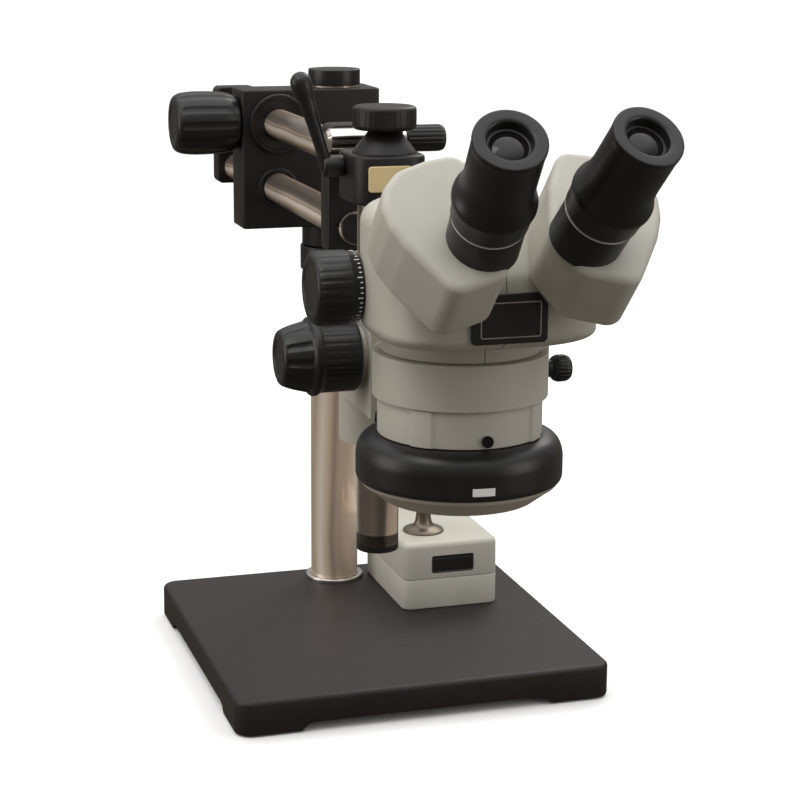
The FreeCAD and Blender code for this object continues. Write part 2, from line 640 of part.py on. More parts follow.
def make_tilt_axle():
    length = s.axle_right - s.axle_left
    hole = s.tilt_stud_dia / 2 + s.run_gap
    spun("tilt_axle", (s.axle_left, s.axle_y, s.axle_z), TO_RIGHT,
         [(0, 0), (s.axle_dia / 2 - 2, 0), (s.axle_dia / 2, 2), (s.axle_dia / 2, length), (hole, length),
          (hole, length - 14), (0, length - 14)])
    radius = s.tilt_knob_dia / 2
    spun("tilt_lock_knob", (s.axle_right + s.free_gap, s.axle_y, s.axle_z), TO_RIGHT,
         [(0, -12), (s.tilt_stud_dia / 2, -12), (s.tilt_stud_dia / 2, 0), (radius - 1, 0), (radius, 2),
          (radius, s.tilt_knob_length - 2), (radius - 3, s.tilt_knob_length), (0, s.tilt_knob_length)])


def make_post_knob():
    stud = s.knob_stud_dia / 2
    disc = s.knob_disc_dia / 2
    seat = s.cone_top + s.free_gap
    spun("post_lock_knob", (s.boom_x, s.knob_y, 0), UPRIGHT,
         [(0, s.holder_high), (stud, s.holder_high), (stud, seat), (s.neck_dia / 2, seat),
          (s.neck_dia / 2, s.knob_disc_low), (disc - 1, s.knob_disc_low), (disc, s.knob_disc_low + 1),
          (disc, s.knob_disc_top - 1), (disc - 1, s.knob_disc_top), (0, s.knob_disc_top)])


def make_lever():
    """The clamp lever: a hub beside the holder's left face and an arm that leans out."""
    hub_length = s.boom_x - s.holder_width / 2 - s.free_gap - s.lever_hub_left
    at = (s.boom_x - s.holder_width / 2 - s.free_gap, s.post_y, s.lever_z)
    hub = cylinder(s.lever_hub_dia / 2, hub_length, at, TO_LEFT)
    stud = cylinder(s.lever_stud_dia / 2, s.holder_width / 2 - s.post_dia / 2 - 0.5, at, TO_RIGHT)
    lean = math.degrees(math.atan2(plain(s.lever_lean), plain(s.lever_reach)))
    up_and_out = FreeCAD.Rotation(Y_AXIS, -lean)
    root = (s.lever_hub_left + 12, s.post_y, s.lever_z)
    arm = doc.addObject("Part::Cone", "Arm")
    arm.Radius1 = 4.5
    arm.Radius2 = 5.5
    bind(arm, "Height", s.lever_reach)
    place(arm, root, up_and_out)
    tip = doc.addObject("Part::Sphere", "Tip")
    tip.Radius = 6.5
    sine = math.sin(math.radians(lean))
    cosine = math.cos(math.radians(lean))
    place(tip, (root[0] - s.lever_reach * sine, s.post_y, s.lever_z + s.lever_reach * cosine), UPRIGHT)
    join("clamp_lever", [hub, stud, arm, tip])


# ---------------------------------------------------------------- drop post and focus mount
def make_post():
    inner = s.post_dia / 2 - s.post_wall
    spun("drop_post", (s.boom_x, s.post_y, 0), UPRIGHT,
         tube_points(s.post_dia / 2, inner, s.post_bottom + s.post_cap, s.post_top))
    base = s.post_bottom + s.post_cap
    spun("post_end_cap", (s.boom_x, s.post_y, 0), UPRIGHT,
         [(0, s.post_bottom), (s.post_dia / 2 - 0.5, s.post_bottom), (s.post_dia / 2, base), (inner, base),
          (inner, base + 8), (0, base + 8)])


def channel_outline(gap):
    """The dovetail, wider at its back, with a gap all round."""
    half = s.slide_width / 2 + gap
    wide = half + s.slide_flare
    back = s.slide_back - s.post_y + gap
    front = s.mount_front - s.post_y
    return [(-wide, back), (wide, back), (half, front), (half, front - 20), (-half, front - 20), (-half, front)]


def make_focus_body():
    body = new_body("focus_body", (s.boom_x, s.post_y, 0))
    clamp = add_circle(new_sketch(body, "XY_Plane", s.clamp_low), (0, 0), s.clamp_dia / 2)
    add_pad(body, clamp, s.clamp_high - s.clamp_low)
    half = s.mount_width / 2
    block = add_outline(new_sketch(body, "XY_Plane", s.mount_low),
                        rectangle(-half, half, s.mount_front - s.post_y, 0))
    add_pad(body, block, s.mount_high - s.mount_low)
    pinion_y = s.pinion_y - s.post_y
    for side, lift in ((1, half), (-1, -half)):
        boss = add_circle(new_sketch(body, "YZ_Plane", lift), (pinion_y, s.pinion_z), s.boss_dia / 2)
        add_pad(body, boss, s.boss_length, backwards=side < 0)
    channel = add_outline(new_sketch(body, "XY_Plane", s.mount_low), channel_outline(s.free_gap))
    add_pocket(body, channel, s.mount_high - s.mount_low, backwards=True)
    half_groove = s.rack_width / 2 + 0.7
    groove = rectangle(-half_groove, half_groove, s.mount_front - s.post_y, rack_tip() - s.post_y + 0.5)
    add_pocket(body, add_outline(new_sketch(body, "XY_Plane", s.mount_low), groove),
               s.mount_high - s.mount_low, backwards=True)
    bore = new_sketch(body, "XY_Plane", s.clamp_low)
    add_circle(bore, (0, 0), s.post_dia / 2 + s.run_gap)
    add_pocket(body, bore, s.clamp_high - s.clamp_low, backwards=True)
    chamber = add_circle(new_sketch(body, "YZ_Plane"), (pinion_y, s.pinion_z), gear_tip_radius() + 0.6)
    add_pocket(body, chamber, s.gear_width + 4, middle=True)
    shaft = new_sketch(body, "YZ_Plane")
    add_circle(shaft, (pinion_y, s.pinion_z), s.pinion_shaft_dia / 2 + s.run_gap)
    add_pocket(body, shaft, s.mount_width + s.boss_length * 2 + 2, middle=True)
    screw = add_circle(new_sketch(body, "XZ_Plane"), (0, s.clamp_low + 10), s.thumb_stem / 2 + s.run_gap)
    add_pocket(body, screw, s.clamp_dia)
    spun("mount_clamp_screw", (s.boom_x, s.post_y + s.post_dia / 2 + 0.5, s.clamp_low + 10), TO_BACK,
         thumb_screw_points(s.clamp_dia / 2 - s.post_dia / 2 + 1))


def gear_tip_radius():
    return (s.gear_teeth / 2 + 1) * s.gear_module


def rack_tip():
    """How far back the rack's teeth reach."""
    return s.pinion_y - (s.gear_teeth / 2 - 1) * s.gear_module


def pinion_tooth(index, teeth):
    """One tooth's four corners, seen along the shaft, as (across, up) sizes."""
    module = s.gear_module
    root = (s.gear_teeth / 2 - 1.25) * module
    tip = gear_tip_radius()
    pitch_angle = 2 * math.pi / teeth
    corners = []
    for radius, share in ((root, -0.31), (tip, -0.10), (tip, 0.10), (root, 0.31)):
        angle = (index + share) * pitch_angle
        corners.append((radius * math.cos(angle), radius * math.sin(angle)))
    return corners


def make_pinion():
    shaft_half = s.mount_width / 2 + s.boss_length + s.focus_knob_gap + s.focus_knob_inner
    body = new_body("pinion_shaft", (s.boom_x, s.pinion_y, s.pinion_z), TO_RIGHT)
    rod = add_circle(new_sketch(body, "XY_Plane"), (0, 0), s.pinion_shaft_dia / 2)
    add_pad(body, rod, shaft_half * 2, middle=True)
    teeth = round(plain(s.gear_teeth))
    outline = [corner for index in range(teeth) for corner in pinion_tooth(index, teeth)]
    add_pad(body, add_outline(new_sketch(body, "XY_Plane"), outline), s.gear_width, middle=True)
    radius = s.focus_knob_dia / 2
    bore = s.pinion_shaft_dia / 2
    inner = s.focus_knob_inner
    start = s.mount_width / 2 + s.boss_length + s.focus_knob_gap
    knobs = []
    for label, turn, sign in (("focus_knob_left", TO_LEFT, -1), ("focus_knob_right", TO_RIGHT, 1)):
        outline = [(bore, 0), (radius * 0.86, 0), (radius * 0.93, 2), (radius * 0.93, inner), (radius, inner + 1),
              (radius, inner + 6), (s.focus_tip_dia / 2, inner + s.focus_knob_outer - 3),
              (s.focus_tip_dia / 2 - 4, inner + s.focus_knob_outer), (0, inner + s.focus_knob_outer),
              (0, inner), (bore, inner)]
        knobs.append(spun(label, (s.boom_x + start * sign, s.pinion_y, s.pinion_z), turn, outline))
    like_pair("focus_knobs", knobs)


def make_slide():
    body = new_body("focus_slide", (s.boom_x, s.post_y, 0))
    front = s.mount_front - s.post_y
    half = s.slide_width / 2
    wide = half + s.slide_flare
    back = s.slide_back - s.post_y
    plate = s.slide_front - s.post_y
    outline = [(-wide, back), (wide, back), (half, front), (half, plate), (-half, plate), (-half, front)]
    sketch = add_outline(new_sketch(body, "XY_Plane", s.slide_low), outline)
    add_pad(body, sketch, s.slide_high - s.slide_low)
    slot = rectangle(-s.rack_width / 2 - 0.5, s.rack_width / 2 + 0.5, back - s.rack_depth, back + 1)
    add_pocket(body, add_outline(new_sketch(body, "XY_Plane", s.slide_low), slot),
               s.slide_high - s.slide_low, backwards=True)
    make_rack()
    ring = new_body("mount_ring", (s.head_x, s.head_y, 0))
    tall = s.mount_ring_high - s.mount_ring_low
    disc = add_circle(new_sketch(ring, "XY_Plane", s.mount_ring_low), (0, 0), s.mount_ring_dia / 2)
    add_pad(ring, disc, tall)
    arm = rectangle(-s.ring_arm_width / 2, s.ring_arm_width / 2, s.barrel_dia / 2,
                    s.slide_front - s.head_y)
    add_pad(ring, add_outline(new_sketch(ring, "XY_Plane", s.mount_ring_low), arm), tall)
    boss = add_circle(new_sketch(ring, "YZ_Plane", s.mount_ring_dia / 2 - 5),
                      (s.thumb_y - s.head_y, s.thumb_z), s.thumb_boss / 2)
    add_pad(ring, boss, 8)
    bore = add_circle(new_sketch(ring, "XY_Plane", s.mount_ring_low), (0, 0), s.barrel_dia / 2 + s.run_gap)
    add_pocket(ring, bore, tall, backwards=True)
    hole = add_circle(new_sketch(ring, "YZ_Plane", s.barrel_dia / 2 - 2), (s.thumb_y - s.head_y, s.thumb_z),
                      s.thumb_stem / 2 + s.run_gap)
    add_pocket(ring, hole, 20, backwards=True)
    spun("head_lock_screw", (s.head_x + s.barrel_dia / 2 + 0.6, s.thumb_y, s.thumb_z), TO_RIGHT,
         thumb_screw_points(s.mount_ring_dia / 2 - s.barrel_dia / 2 + 4))


def make_rack():
    """The rack: straight teeth at the pinion's pitch, with a tooth gap opposite a pinion tooth."""
    module = s.gear_module
    pitch = math.pi * module
    root = s.pinion_y - (s.gear_teeth / 2 + 1.25) * module
    tip = rack_tip()
    back = s.slide_back - s.rack_depth
    body = new_body("focus_rack", (s.boom_x, 0, s.pinion_z))
    count = round(plain(s.rack_teeth_count))
    points = [(back, -(count / 2) * pitch)]
    for index in range(count):
        middle = (index - count / 2 + 0.5) * pitch
        points += [(root, middle - 0.33 * pitch), (tip, middle - 0.10 * pitch), (tip, middle + 0.10 * pitch),
                   (root, middle + 0.33 * pitch)]
    points.append((back, (count / 2) * pitch))
    add_pad(body, add_outline(new_sketch(body, "YZ_Plane"), points), s.rack_width, middle=True)


# ---------------------------------------------------------------- microscope head
def eye_height(up):
    """Bench height of the prism housings' underside plane over a place y."""
    return up + (s.eye_z - s.eye_y) - (s.prism_deep + s.free_gap) * math.sqrt(2)


def make_case():
    body = new_body("head_casing", (s.head_x, 0, 0))
    slope_low = eye_height(s.case_front)
    slope_back = s.case_top - eye_height(Size("0", 0.0))
    side = [(s.case_front, s.case_low), (s.case_front, slope_low), (slope_back, s.case_top),
            (s.case_back, s.case_top), (s.case_back, s.case_low)]
    add_pad(body, add_outline(new_sketch(body, "YZ_Plane"), side), s.case_half * 2, middle=True)
    middle = plain(s.case_front + s.case_back) / 2
    round_edges(body, s.case_round, lambda edge: is_upright(edge) and edge.CenterOfMass.y < middle)
    round_edges(body, s.case_back_round, lambda edge: is_upright(edge) and edge.CenterOfMass.y > middle)
    neck = add_circle(new_sketch(body, "XY_Plane", s.case_low), (0, s.head_y), s.neck_band_dia / 2)
    add_pad(body, neck, s.case_low - s.neck_band_low, backwards=True)
    wall = s.case_wall
    inside = [(s.case_front + wall, s.case_low + wall), (s.case_front + wall, slope_low - wall * 0.5),
              (slope_back + wall * 0.5, s.case_top - wall), (s.case_back - wall * 6, s.case_top - wall),
              (s.case_back - wall * 6, s.case_low + wall)]
    sketch = add_outline(new_sketch(body, "YZ_Plane"), inside)
    add_pocket(body, sketch, (s.case_half - wall * 3) * 2, middle=True)
    bore = add_circle(new_sketch(body, "XY_Plane", s.neck_band_low), (0, s.head_y), s.barrel_bore / 2)
    add_pocket(body, bore, s.case_low - s.neck_band_low + wall, backwards=True)
    port = add_circle(new_sketch(body, "XY_Plane", s.case_top), (0, s.port_y), s.port_bore / 2)
    add_pocket(body, port, wall + 1)
    shaft = add_circle(new_sketch(body, "YZ_Plane"), (s.zoom_y, s.zoom_z), s.zoom_shaft_dia / 2 + s.run_gap)
    add_pocket(body, shaft, s.case_half * 2 + 2, middle=True)
    for sign in (-1, 1):
        centre = (s.axis_across * sign, s.axis_up)
        for radius, length, cut in (
            (s.pocket_dia / 2 - s.run_gap, s.bearing_tall + s.free_gap, False),
            (s.pocket_dia / 2 - s.bearing_wall, s.bearing_tall + s.free_gap + s.case_wall * 2.5, True),
        ):
            lift = -(s.prism_deep + s.free_gap)
            sketch = tilted_sketch(body, lift if not cut else lift + s.bearing_tall + s.free_gap)
            add_circle(sketch, centre, radius)
            if cut:
                add_pocket(body, sketch, length)
            else:
                add_pad(body, sketch, length)


def tilted_sketch(body, lift):
    """A sketch in the eye-facing plane, lifted along the eyepieces' direction."""
    lean = math.sqrt(0.5)
    sketch = new_sketch(body, "XY_Plane", s.eye_z + lift * lean, (0, s.eye_y - lift * lean), TO_EYE)
    return sketch


def make_head():
    at = (s.head_x, s.head_y, 0)
    outer = s.barrel_dia / 2
    inner = s.barrel_bore / 2
    barrel = spun("head_barrel", at, UPRIGHT,
                  [(0, s.barrel_low), (outer, s.barrel_low), (outer, s.neck_band_low),
                   (inner, s.neck_band_low), (inner, s.barrel_low + s.lens_thick),
                   (0, s.barrel_low + s.lens_thick)])
    lens_bores = new_sketch(barrel, "XY_Plane", s.barrel_low)
    for sign in (-1, 1):
        add_circle(lens_bores, (s.lens_offset * sign, 0), s.lens_dia / 2)
    add_pocket(barrel, lens_bores, s.lens_thick, backwards=True)
    lenses = [cylinder(s.lens_dia / 2, s.lens_thick, (s.head_x + s.lens_offset * sign, s.head_y, s.barrel_low))
              for sign in (-1, 1)]
    gather("objective_lenses", lenses)
    adapter = spun("ring_adapter", at, UPRIGHT,
                   [(s.spigot_bore / 2, s.adapter_low - s.spigot_length),
                    (s.spigot_dia / 2, s.adapter_low - s.spigot_length), (s.spigot_dia / 2, s.adapter_low),
                    (s.adapter_dia / 2, s.adapter_low), (s.adapter_dia / 2, s.adapter_high),
                    (outer, s.adapter_high), (outer, s.barrel_low), (s.spigot_bore / 2, s.barrel_low)])
    screws = []
    for angle in (-90, 30, 150):
        along = FreeCAD.Rotation(Z_AXIS, angle).multiply(TO_RIGHT)
        cosine = math.cos(math.radians(angle))
        sine = math.sin(math.radians(angle))
        start = (s.head_x + outer * cosine, s.head_y + outer * sine, s.set_screw_z)
        screws.append(cylinder(s.set_screw_dia / 2, s.adapter_dia / 2 - outer + 0.5, start, along))
        hole = new_sketch(adapter, "YZ_Plane")
        hole.AttachmentOffset = FreeCAD.Placement(FreeCAD.Vector(0, 0, 0), FreeCAD.Rotation(Y_AXIS, angle))
        add_circle(hole, (0, s.set_screw_z), s.set_screw_dia / 2)
        add_pocket(adapter, hole, s.adapter_dia, backwards=True)
    fuse_screws(screws)
    make_ring_light(at)


def fuse_screws(screws):
    """The set screws' tips follow the barrel, so each is trimmed to its round side."""
    low = s.set_screw_z - s.adapter_dia / 2
    barrel_space = cylinder(s.barrel_dia / 2, s.adapter_dia, (s.head_x, s.head_y, low))
    gather("adapter_screws", [drilled(screw, barrel_space) for screw in screws])


def make_ring_light(at):
    outer = s.light_dia / 2
    bore = s.spigot_dia / 2
    wall = s.light_channel
    chamfer = s.light_round
    spun("ring_light", at, UPRIGHT,
         [(bore, s.light_low), (bore + wall - 2, s.light_low), (bore + wall - 2, s.light_high - wall),
          (outer - wall, s.light_high - wall - 2), (outer - wall + 2, s.light_low), (outer, s.light_low),
          (outer, s.light_high - chamfer), (outer - chamfer * 0.3, s.light_high - chamfer * 0.3),
          (outer - chamfer, s.light_high), (bore, s.light_high)])
    spun("ring_diffuser", at, UPRIGHT,
         [(bore + wall - 2, s.diffuser_low), (outer - wall + 2 - s.diffuser_slope, s.diffuser_low),
          (outer - wall + 2, s.light_low), (outer - wall + 1.6, s.light_low + 3),
          (bore + wall - 2, s.light_low + 3)])


def make_head_trim():
    plate = new_body("nameplate", (s.head_x, s.case_front, s.plate_z))
    half_width = s.plate_width / 2
    half_height = s.plate_height / 2
    outline = rectangle(-half_width, half_width, -half_height, half_height)
    add_pad(plate, add_outline(new_sketch(plate, "XZ_Plane"), outline), s.plate_thick)
    round_edges(plate, 3, lambda edge: edge.BoundBox.YLength > 0.5 and edge.BoundBox.XLength < 0.01
                and edge.BoundBox.ZLength < 0.01)
    cap = s.port_cap_dia / 2
    spigot = s.port_bore / 2
    spun("port_cap", (s.head_x, s.port_y, 0), UPRIGHT,
         [(0, s.case_top - s.case_wall), (spigot, s.case_top - s.case_wall), (spigot, s.case_top),
          (cap + 1.5, s.case_top), (cap + 1.5, s.case_top + 2), (cap, s.case_top + 3),
          (cap, s.port_cap_high - 1.5), (cap - 1.5, s.port_cap_high), (0, s.port_cap_high)])
    half = s.case_half + s.free_gap
    spun("zoom_shaft", (s.head_x, s.zoom_y, s.zoom_z), TO_RIGHT,
         rod_points(s.zoom_shaft_dia / 2, -(half + s.zoom_knob_length - 4), half + s.zoom_knob_length - 4))
    radius = s.zoom_knob_dia / 2
    bore = s.zoom_shaft_dia / 2
    length = s.zoom_knob_length
    knobs = []
    for label, turn, sign in (("zoom_knob_left", TO_LEFT, -1), ("zoom_knob_right", TO_RIGHT, 1)):
        outline = [(bore, 0), (radius - 0.5, 0), (radius, 0.5), (radius, length - 1.5), (radius - 1.5, length),
                   (0, length), (0, length - 4), (bore, length - 4)]
        knobs.append(spun(label, (s.head_x + half * sign, s.zoom_y, s.zoom_z), turn, outline))
    like_pair("zoom_knobs", knobs)


# ---------------------------------------------------------------- prism housings and eyepieces
PRISM_OUTLINE = [(8, -38), (18, -60), (44.5, -68.5), (54, -54), (62, -41.5), (67, -30), (69, -18),
                 (66, -7.5), (57.5, 2.5), (42, 8.5), (25, 11.5), (15, -10)]


def make_eye_side(name, sign):
    """One prism housing with its prism, tube and eyepiece; sign is -1 for the left one."""
    at = (s.head_x, s.eye_y, s.eye_z)
    body = new_body(f"prism_housing_{name}", at, TO_EYE)
    outline = [(s.axis_across * sign + (x - SIZES["axis_across"]) * sign, s.axis_up + (y - SIZES["axis_up"]))
               for x, y in PRISM_OUTLINE]
    add_pad(body, add_outline(new_sketch(body, "XY_Plane"), outline), s.prism_deep, backwards=True)
    round_edges(body, 4, lambda edge: edge.BoundBox.ZMin > -0.01)
    axis = (s.axis_across * sign, s.axis_up)
    pocket = add_circle(new_sketch(body, "XY_Plane", -s.prism_deep), axis, s.pocket_dia / 2)
    add_pocket(body, pocket, s.pocket_deep, backwards=True)
    tube = (s.tube_across * sign, s.tube_up)
    bore = add_circle(new_sketch(body, "XY_Plane"), tube, s.tube_bore / 2)
    add_pocket(body, bore, s.prism_deep - s.pocket_deep + 12)
    prism = new_body(f"prism_{name}", at, TO_EYE)
    half = s.prism_size / 2
    block = rectangle(axis[0] - half, axis[0] + half, axis[1] - half, axis[1] + half)
    ceiling = s.pocket_deep - s.prism_deep
    add_pad(prism, add_outline(new_sketch(prism, "XY_Plane", ceiling), block), s.prism_tall, backwards=True)
    make_eyepiece(name, sign, tube)


def make_eyepiece(name, sign, tube):
    """The tube stands square on the housing; the eyepiece turns in it about its own axis."""
    spread = FreeCAD.Rotation(Y_AXIS, EYE_SPREAD * sign)
    turn = TO_EYE.multiply(spread)
    lean = math.sqrt(0.5)
    foot = 2.0
    at = (s.head_x + tube[0], s.eye_y + tube[1] * lean, s.eye_z + tube[1] * lean)
    outer = s.tube_dia / 2
    bore = s.tube_bore / 2
    holder = spun(f"eye_tube_{name}", at, turn, tube_points(outer, bore, -foot - 2, s.tube_length))
    trim = new_sketch(holder, "XY_Plane", 0, turn=spread.inverted())
    add_circle(trim, (0, 0), s.tube_dia)
    add_pocket(holder, trim, 10)
    collar = s.collar_eye_dia / 2
    barrel = s.barrel_eye_dia / 2
    glass = s.eye_lens_dia / 2
    seat = s.tube_length + s.free_gap
    top = seat + s.collar_eye_length + s.barrel_eye_length
    flare = seat + s.collar_eye_length
    spigot = bore - s.run_gap
    spun(f"eyepiece_{name}", at, turn,
         [(spigot - 2, 3), (spigot, 3), (spigot, seat), (collar - 1, seat), (collar, seat + 2),
          (collar, flare - 3), (barrel, flare + 2), (barrel, top - 2), (barrel - 2, top), (glass + 1.5, top),
          (glass, top - s.eye_recess), (spigot - 2, top - s.eye_recess - s.eye_lens_thick - 4)])
    spun(f"eye_lens_{name}", at, turn,
         [(0, top - s.eye_recess - s.eye_lens_thick), (glass * 0.94, top - s.eye_recess - s.eye_lens_thick),
          (glass * 0.94, top - s.eye_recess - 1), (glass * 0.5, top - s.eye_recess - 0.3),
          (0, top - s.eye_recess)])


make_base()
make_pads()
make_pole()
make_power_box()
make_collar()
make_block()
make_bushes()
make_locks()
make_boom()
make_housing()
make_lever()
make_post()
make_focus_body()
make_pinion()
make_slide()
make_case()
make_head()
make_head_trim()
for side_name, side_sign in (("left", -1), ("right", 1)):
    make_eye_side(side_name, side_sign)
doc.recompute()

# ---------------------------------------------------------------- checks and files
failed = [item.Name for item in doc.Objects if {"Invalid", "Error"} & set(item.State)]
if failed:
    raise RuntimeError(f"these objects failed: {failed}")
os.makedirs("parts", exist_ok=True)
for item in PARTS:
    if item.Shape.isNull() or not item.Shape.isValid() or not item.Shape.Solids:
        raise RuntimeError(f"{item.Label} has no valid solid")
    item.Shape.exportStep(f"parts/{item.Label}.step")
    print(f"{item.Label}: {len(item.Shape.Solids)} solids, {item.Shape.Volume / 1000:.1f} cm3")
print(f"{len(PARTS)} parts")
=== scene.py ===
"""Stereo microscope on a double-arm boom stand: surfaces, finishes, light and camera.

Lengths inside the surface helpers are millimetres in the row frame; meshes are written in metres.
"""

import json
import math

import bpy
import numpy as np
from mathutils import Matrix, Vector


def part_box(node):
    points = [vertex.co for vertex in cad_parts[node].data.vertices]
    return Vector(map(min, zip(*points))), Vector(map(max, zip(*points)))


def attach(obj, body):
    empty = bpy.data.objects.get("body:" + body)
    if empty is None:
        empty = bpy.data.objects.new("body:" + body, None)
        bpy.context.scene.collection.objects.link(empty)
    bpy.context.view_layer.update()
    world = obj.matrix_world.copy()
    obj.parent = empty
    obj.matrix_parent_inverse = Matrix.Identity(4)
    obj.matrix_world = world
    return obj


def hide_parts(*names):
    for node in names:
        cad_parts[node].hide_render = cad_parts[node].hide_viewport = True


bl_info = {
    "name": "Stereo microscope",
    "version": (1, 0, 0),
    "blender": (4, 5, 0),
    "location": "3D View > Sidebar > Microscope",
    "description": "Surfaces and finishes of a stereo microscope on a boom stand",
    "category": "Object",
}

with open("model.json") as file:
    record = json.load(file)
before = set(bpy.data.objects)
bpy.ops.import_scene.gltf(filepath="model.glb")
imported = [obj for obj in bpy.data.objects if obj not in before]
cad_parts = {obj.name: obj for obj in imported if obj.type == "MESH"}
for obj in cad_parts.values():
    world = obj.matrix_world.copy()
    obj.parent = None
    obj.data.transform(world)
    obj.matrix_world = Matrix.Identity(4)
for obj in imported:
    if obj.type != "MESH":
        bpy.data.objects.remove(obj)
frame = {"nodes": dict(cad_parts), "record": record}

X_AXIS, Y_AXIS, Z_AXIS = np.eye(3)
EYE_UP = np.array([0.0, 1.0, 1.0]) / math.sqrt(2.0)
EYE_OUT = np.array([0.0, -1.0, 1.0]) / math.sqrt(2.0)

# Where the eyepieces' sloped plane is centred, and how each tube stands on it.
EYE_ORIGIN = np.array([-46.0, -381.5, 381.5])
EYE_HALF_SPACING, EYE_DROP, EYE_SPLAY = 25.4, 40.3, math.radians(5.26)

# Play between a bore and what runs in it.
CLEAR = 0.1

# The two lugs round the tilt axle: thickness, half height, and the gap between them.
LUG_WIDTH, LUG_HALF, LUG_GAP, FRONT_LUG_LEFT = 7.5, 9.0, 0.4, -41.7

# The head's lobe: half width, half depth, and how far it stands ahead of the barrel's axis.
LOBE_WIDE, LOBE_DEEP, LOBE_AHEAD = 54.0, 58.0, 13.0


# ---------------------------------------------------------------- sizes off the frame


def span(node):
    """Lowest corner, highest corner and middle of a CAD node, in millimetres."""
    low, high = (np.array(corner, float) * 1000.0 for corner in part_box(node))
    return low, high, (low + high) / 2.0


# ---------------------------------------------------------------- surfaces


def soften(points, loop=False, steps=5):
    """Round a profile's corners. Each point is (across, along, size); a corner becomes the
    quadratic curve between the two places that size away from it on its sides."""
    made = []
    last = len(points) - 1
    for i, (x, y, size) in enumerate(points):
        corner = np.array([x, y], float)
        if not size or (not loop and i in (0, last)):
            made.append(corner)
            continue
        before = np.array(points[i - 1][:2], float) - corner
        after = np.array(points[(i + 1) % (last + 1)][:2], float) - corner
        long_before, long_after = np.hypot(*before), np.hypot(*after)
        cut = min(size, long_before * 0.49, long_after * 0.49)
        t = np.linspace(0.0, 1.0, steps)[:, None]
        start, end = corner + before / long_before * cut, corner + after / long_after * cut
        made.extend((1 - t) ** 2 * start + 2 * t * (1 - t) * corner + t**2 * end)
    return np.array(made)


def across(axis):
    """Two directions square to an axis."""
    first = np.cross(Y_AXIS if abs(axis[1]) < 0.6 else Z_AXIS, axis)
    first /= np.linalg.norm(first)
    return first, np.cross(axis, first)


def turned(centre, axis, profile, columns=96, shape=None):
    """Turned surface: a profile of (radius, height) goes round an axis. shape may change the
    radius as a function of radius, height and the angle round the axis."""
    axis = np.array(axis, float) / np.linalg.norm(axis)
    first, second = (X_AXIS, Y_AXIS) if axis[2] > 0.99 else across(axis)
    angle = np.linspace(0.0, 2 * math.pi, columns, endpoint=False)[None, :]
    radius = np.repeat(profile[:, :1], columns, axis=1)
    height = np.repeat(profile[:, 1:], columns, axis=1)
    if shape:
        radius = shape(radius, height, angle)
    ring = np.cos(angle)[..., None] * first + np.sin(angle)[..., None] * second
    return np.array(centre, float) + radius[..., None] * ring + height[..., None] * axis


def flutes(*bands):
    """Lengthwise scallops on a turned surface: in each band (low, high, count, depth) the radius
    drops by depth times a power of the cosine of count times the angle, fading at the ends."""

    def shape(radius, height, angle):
        for low, high, count, depth in bands:
            fade = np.clip(np.minimum(height - low, high - height) / 1.2, 0.0, 1.0)
            groove = np.maximum(np.cos(angle * count), 0.0) ** 0.7
            radius = radius - depth * fade * groove * (radius > depth * 2)
        return radius

    return shape


def outline(points, radius, inset=0.0, steps=6, along=1):
    """A polygon (anticlockwise) drawn in by inset with its corners rounded to true arcs; along is
    the number of parts each straight side is cut into."""
    corners = np.array(points, float)
    side = np.roll(corners, -1, axis=0) - corners
    side /= np.linalg.norm(side, axis=1)[:, None]
    inward = np.stack([-side[:, 1], side[:, 0]], axis=1)
    before = np.roll(inward, 1, axis=0)
    corners = corners + inset * (before + inward) / (1 + (before * inward).sum(axis=1))[:, None]
    radii = np.broadcast_to(radius, len(corners))
    t = np.linspace(0.0, 1.0, steps)[:, None]
    arcs = []
    for i, corner in enumerate(corners):
        back, forth = -side[i - 1], side[i]
        half = 0.5 * math.acos(np.clip(back @ forth, -1.0, 1.0))
        cut = max(radii[i] - inset, 0.05) / math.tan(half)
        weight = math.sin(half)
        top = (1 - t) ** 2 * (corner + back * cut) + t**2 * (corner + forth * cut)
        under = (1 - t) ** 2 + 2 * weight * t * (1 - t) + t**2
        arcs.append((top + 2 * weight * t * (1 - t) * corner) / under)
    made = []
    for i, arc in enumerate(arcs):
        made.extend(arc)
        ahead = arcs[(i + 1) % len(arcs)][0]
        made.extend(arc[-1] + (ahead - arc[-1]) * k / along for k in range(1, along))
    return np.array(made)


def stacked(levels):
    """Rows of a surface from levels of (outline, height): each outline goes round at its height,
    and both ends close on the middle of their own outline."""
    rows = [np.column_stack([ring, np.broadcast_to(height, len(ring))]) for ring, height in levels]
    ends = [np.broadcast_to(row.mean(axis=0), row.shape) for row in (rows[0], rows[-1])]
    return np.array([ends[0], *rows, ends[1]])


def slab(points, radius, low, high, edge, steps=5, along=1, corner_steps=6):
    """A block with a rounded outline whose two faces' edges are quarter circles of size edge."""
    bend = np.linspace(0.0, math.pi / 2, steps)
    flat = edge + 0.4

    def draw(inset):
        return outline(points, radius, inset, corner_steps, along)

    levels = [(draw(flat), low)]
    levels += [(draw(edge * (1 - math.sin(b))), low + edge * (1 - math.cos(b))) for b in bend]
    levels += [(draw(edge * (1 - math.cos(b))), high - edge * (1 - math.sin(b))) for b in bend]
    levels += [(draw(flat), high)]
    return stacked(levels)


def placed(grid, origin, first, second, third):
    """A grid's three numbers laid along three directions from an origin."""
    return np.array(origin, float) + grid @ np.array([first, second, third], float)


def facing_front(grid, x, y, z):
    """A grid drawn as (right, up, towards the front) put at a place."""
    return placed(grid, (x, y, z), X_AXIS, Z_AXIS, -Y_AXIS)


